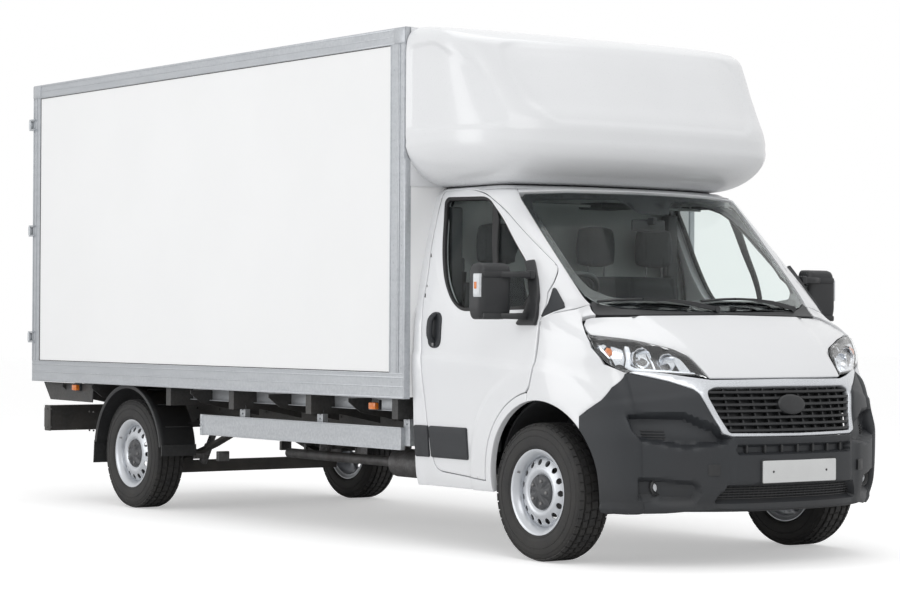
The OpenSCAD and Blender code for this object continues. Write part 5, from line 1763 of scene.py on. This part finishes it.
# Underbody and the fittings that hang from the load body.
def bolt(bm, centre, axis="x", r=9, mat=0, sign=1):
    lathe(bm, [(0, 8 * sign), (r * 0.9, 8 * sign), (r, 6 * sign), (r, 0), (0, 0)], centre, axis, 6, mat, closed=False)


guardSettings = {"posts": (1265, 2180, 3080), "markers": ((1490, 785), (5200, 800)), "archRadius": 464, "flapFoot": 285}


def buildGuards():
    bm = bmesh.new()
    # folded lips on the side rail, its end fitting and the posts' perforated feet
    for z in (536, 660):
        block(bm, 962, 989, 1292, 3558, z - 1, z + 6, 2)
    block(bm, 956, 990, 3536, 3566, 532, 668, 4)
    block(bm, 940, 958, 3470, 3566, 540, 660, 3)
    for s in guardSettings["posts"]:
        block(bm, 952, 962, s - 30, s + 34, 655, 742, 3)
        for z in (685, 712):
            bolt(bm, (961, s, z), r=6)
    for z in (570, 600, 632):
        bolt(bm, (989, 3551, z), r=5)
    finish(bm, "sideGuard.lips", "alloy", "chassis", both=True)
    bm = bmesh.new()
    # long members of the box floor frame, set in from the rails
    block(bm, 868, 876, 1300, 3960, 752, 826, 3)
    block(bm, 868, 900, 1300, 3960, 752, 758, 2)
    finish(bm, "floorFrame.sides", "alloy", "chassis", both=True)
    bm = bmesh.new()
    # gussets under the bearers
    for s in (1265, 1750, 2180, 2640, 3080, 3600, 4960, 5400):
        rows = [[(x, s, z) for x, z in ((520, 822), (1040, 822), (1040, 800), (960, 740), (520, 650))],
                [(x, s + 8, z) for x, z in ((520, 822), (1040, 822), (1040, 800), (960, 740), (520, 650))]]
        loft(bm, rows)
    # wedge-shaped end bracket under the last bearer
    rows = [[(x, s, z) for s, z in ((4990, 828), (5745, 828), (5640, 705), (5010, 700))] for x in (1004, 1012)]
    loft(bm, rows)
    finish(bm, "bearers.gussets", "chassis", "chassis", both=True)
    bm = bmesh.new()
    for s, z in guardSettings["markers"]:
        block(bm, 1022, 1056, s - 34, s + 34, z - 20, z + 20, 6)
    finish(bm, "marker.sides", "orange", "chassis", both=True)
    bm = bmesh.new()
    for s, z in guardSettings["markers"]:
        block(bm, 1008, 1030, s - 38, s + 38, z - 24, z + 36, 4)
    finish(bm, "marker.bases", "black", "chassis", both=True)


def buildMudguards():
    bm = bmesh.new()
    s0, z0, r = wheelbase, axleZ, guardSettings["archRadius"]
    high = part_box("rear_mudguards")[1]
    inX, outX = rearX - 128, high[0] * 1000
    ring = [(s0 - r * math.cos(a), z0 + r * math.sin(a)) for a in [math.radians(8 + 164 * k / 60) for k in range(61)]]
    rows = []
    for s, z in ring:
        n = Vector((s - s0, z - z0)).normalized()
        line = []
        for x, d in ((inX, -2), (inX + 8, 3), (outX - 46, 3), (outX - 40, 6), (outX - 12, 7), (outX - 2, 3), (outX, -6),
            (outX - 3, -22), (outX - 8, -22), (outX - 9, -8), (outX - 14, -5), (inX + 8, -8), (inX, -8)):
            line.append((x, s + n.x * d, z + n.y * d))
        rows.append(line)
    loft(bm, rows)
    # ribs across the guard and the hanging flap
    for k in range(6, 56, 8):
        s, z = ring[k]
        n = Vector((s - s0, z - z0)).normalized()
        block(bm, inX + 20, outX - 60, s + n.x * 4 - 5, s + n.x * 4 + 5, z + n.y * 4 - 3, z + n.y * 4 + 5, 2)
    sEnd, zEnd = ring[-1]
    rows = [[(x, sEnd + 6 + t, zEnd + 6) for x, t in ((inX, 0), (outX - 4, 0), (outX - 4, 8), (inX, 8))],
            [(x, sEnd + 18 + t, guardSettings["flapFoot"]) for x, t in ((inX, 0), (outX - 4, 0), (outX - 4, 8), (inX, 8))]]
    loft(bm, rows)
    sEnd, zEnd = ring[0]
    rows = [[(x, sEnd - 8 - t, zEnd + 12) for x, t in ((inX, 0), (outX - 4, 0), (outX - 4, 8), (inX, 8))],
            [(x, sEnd - 8 - t, 372) for x, t in ((inX, 0), (outX - 4, 0), (outX - 4, 8), (inX, 8))]]
    loft(bm, rows)
    finish(bm, "mudguard.skins", "black", "chassis", both=True)


def buildUnder():
    bm = bmesh.new()
    # rear underrun ends, tow eye plate, bolts along the chassis rails
    for s in (5000, 5060, 5640, 5700):
        for z in (505, 635):
            bolt(bm, (1000, s, z), r=7)
    block(bm, 992, 1004, 5660, 5752, 478, 662, 6)
    for k in range(14):
        s = 1500 + k * 300
        for z in (590, 670):
            bolt(bm, (465, s, z), r=8)
    finish(bm, "chassis.bolts", "chassis", "chassis", both=True)
    bm = bmesh.new()
    # fuel tank straps
    low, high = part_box("fuel_tank")
    x0, x1, z0, z1 = low[0] * 1000, high[0] * 1000, low[2] * 1000, high[2] * 1000
    for s in (2120, 2660):
        loop = roundLoop([(x0 - 4, z0 - 4), (x1 + 4, z0 - 4), (x1 + 4, z1 + 4), (x0 - 4, z1 + 4)], 20)
        loft(bm, [[(x, s, z) for x, z in loop], [(x, s + 34, z) for x, z in loop]], closed=True, caps=False)
        inner = grow(loop, -2)
        loft(bm, [[(x, s, z) for x, z in inner], [(x, s + 34, z) for x, z in inner]], closed=True, caps=False)
    finish(bm, "tank.straps", "metal", "chassis")
    bm = bmesh.new()
    for sx in (-1, 1):
        # damper by the rear axle, leaf spring clips
        x = sx * 560
        for k in range(4):
            block(bm, x - 44, x + 44, wheelbase - 520 + k * 330, wheelbase - 490 + k * 330, 330, 396, 4)
        tube(bm, [(x - sx * 70, wheelbase - 120, 300), (x - sx * 120, wheelbase - 260, 620)], 24, 16)
        tube(bm, [(x - sx * 70, wheelbase - 120, 300), (x - sx * 88, wheelbase - 170, 420)], 30, 16)
        # front spring turns above each lower arm
        turns = [(sx * 690 + 52 * math.cos(a), 0 + 52 * math.sin(a), 520 + 7.2 * a) for a in [0.35 * k for k in range(110)]]
        tube(bm, turns, 7, 8)
    finish(bm, "suspension.springs", "metal", "chassis")


def buildBay():
    # inner wings, seen with the bonnet up
    bm = bmesh.new()
    block(bm, 772, 782, -540, 30, 790, 1150, 3)
    block(bm, 700, 782, -540, 30, 780, 792, 3)
    for k in range(5):
        block(bm, 764, 774, -500 + k * 110, -490 + k * 110, 800, 1130, 2)
    finish(bm, "bay.innerWings", "chassis", "chassis", both=True)


def dressNodes():
    finishes = {"frame_rails": "chassis", "frame_crossmembers": "chassis", "floor_bearers": "chassis",
        "front_subframe": "chassis",
                "rear_axle": "chassis", "engine_block": "metal", "fuel_tank": "black", "exhaust": "metal", "cab_floor": "mat",
                "dashboard": "dash", "box_floor": "ply", "box_sides": "panel", "box_front_wall": "panel", "box_roof": "panel",
                "box_frame": "alloy", "side_guards": "alloy", "rear_mudguards": "black",
                "rear_bumper": "chassis", "rear_door_right": "panel",
                "rear_door_left": "panel", "knuckle_right": "metal", "knuckle_left": "metal"}
    left = []
    for name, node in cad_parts.items():
        if name in finishes:
            for slot in node.material_slots:
                slot.material = mats[finishes[name]]
        else:
            left.append(name)
    print("nodes still in their first finish or replaced:", ", ".join(sorted(left)))


buildGuards()
buildMudguards()
buildUnder()
buildBay()
dressNodes()
print("underbody built")


# Studio: pale floor, two soft lamps, white surroundings.
studioSettings = {"floorGlow": 0.40, "fill": 0.64, "key": 165, "top": 150, "side": 255, "lens": 99.6}


def buildStudio():
    bm = bmesh.new()
    place(bm, ([(-60000, -60000, 0), (60000, -60000, 0), (60000, 60000, 0), (-60000, 60000, 0)], [(0, 1, 2, 3)]))
    mesh = bpy.data.meshes.new("floor")
    for v in bm.verts:
        v.co = Vector((v.co.x / 1000, v.co.y / 1000, 0))
    bm.to_mesh(mesh)
    bm.free()
    floor = bpy.data.objects.new("floor", mesh)
    bpy.context.scene.collection.objects.link(floor)
    material = bpy.data.materials.new("studioFloor")
    material.use_nodes = True
    tree = material.node_tree
    shader = tree.nodes["Principled BSDF"]
    spot = tree.nodes.new("ShaderNodeTexCoord").outputs["Object"]
    patch = rangeNode(tree, noiseNode(tree, spot, 0.6, 2.0), 0.3, 0.7, 0.0, 1.0)
    tree.links.new(mixColour(tree, patch, (0.86, 0.86, 0.86), (0.85, 0.85, 0.85)), shader.inputs["Base Color"])
    shader.inputs["Roughness"].default_value = 0.9
    path = tree.nodes.new("ShaderNodeLightPath")
    tree.links.new(rangeNode(tree, path.outputs["Is Camera Ray"], 0.0, 1.0, 0.0, 1.0), shader.inputs["Emission Color"])
    shader.inputs["Emission Strength"].default_value = studioSettings["floorGlow"]
    mesh.materials.append(material)

    world = bpy.data.worlds.new("studio")
    bpy.context.scene.world = world
    world.use_nodes = True
    tree = world.node_tree
    background = tree.nodes["Background"]
    path = tree.nodes.new("ShaderNodeLightPath")
    direct = mathNode(tree, "MAXIMUM", path.outputs["Is Camera Ray"],
        mathNode(tree, "MAXIMUM", path.outputs["Is Glossy Ray"], path.outputs["Is Transmission Ray"]))
    tree.links.new(rangeNode(tree, direct, 0.0, 1.0, studioSettings["fill"], 1.0), background.inputs["Strength"])
    background.inputs["Color"].default_value = (1, 1, 1, 1)

    for name, spot, aim, size, power in (("key", (-4.0, -8.0, 6.5), (0, -1.0, 1.2), 6.0, studioSettings["key"]),
        ("top", (0.5, -0.5, 8.5), (0, 0, 1.5), 7.0, studioSettings["top"]),
                                        ("side", (-9.5, 2.2, 2.4), (0, 0.9, 1.3), 7.0, studioSettings["side"])):
        data = bpy.data.lights.new(name, "AREA")
        data.shape, data.size, data.energy = "DISK", size, power
        lamp = bpy.data.objects.new(name, data)
        lamp.location = spot
        lamp.rotation_euler = (Vector(aim) - Vector(spot)).to_track_quat("-Z", "Y").to_euler()
        bpy.context.scene.collection.objects.link(lamp)

    data = bpy.data.cameras.new("camera")
    data.lens, data.sensor_width = studioSettings["lens"], 36
    camera = bpy.data.objects.new("camera", data)
    camera.location = (-9.16991, -10.45927 - midS / 1000, 1.27811)
    camera.rotation_euler = tuple(math.radians(a) for a in (90.48869, -0.30792, -35.97383))
    bpy.context.scene.collection.objects.link(camera)
    bpy.context.scene.camera = camera
    bpy.context.scene.view_settings.view_transform = "Standard"


buildStudio()
print("studio ready")
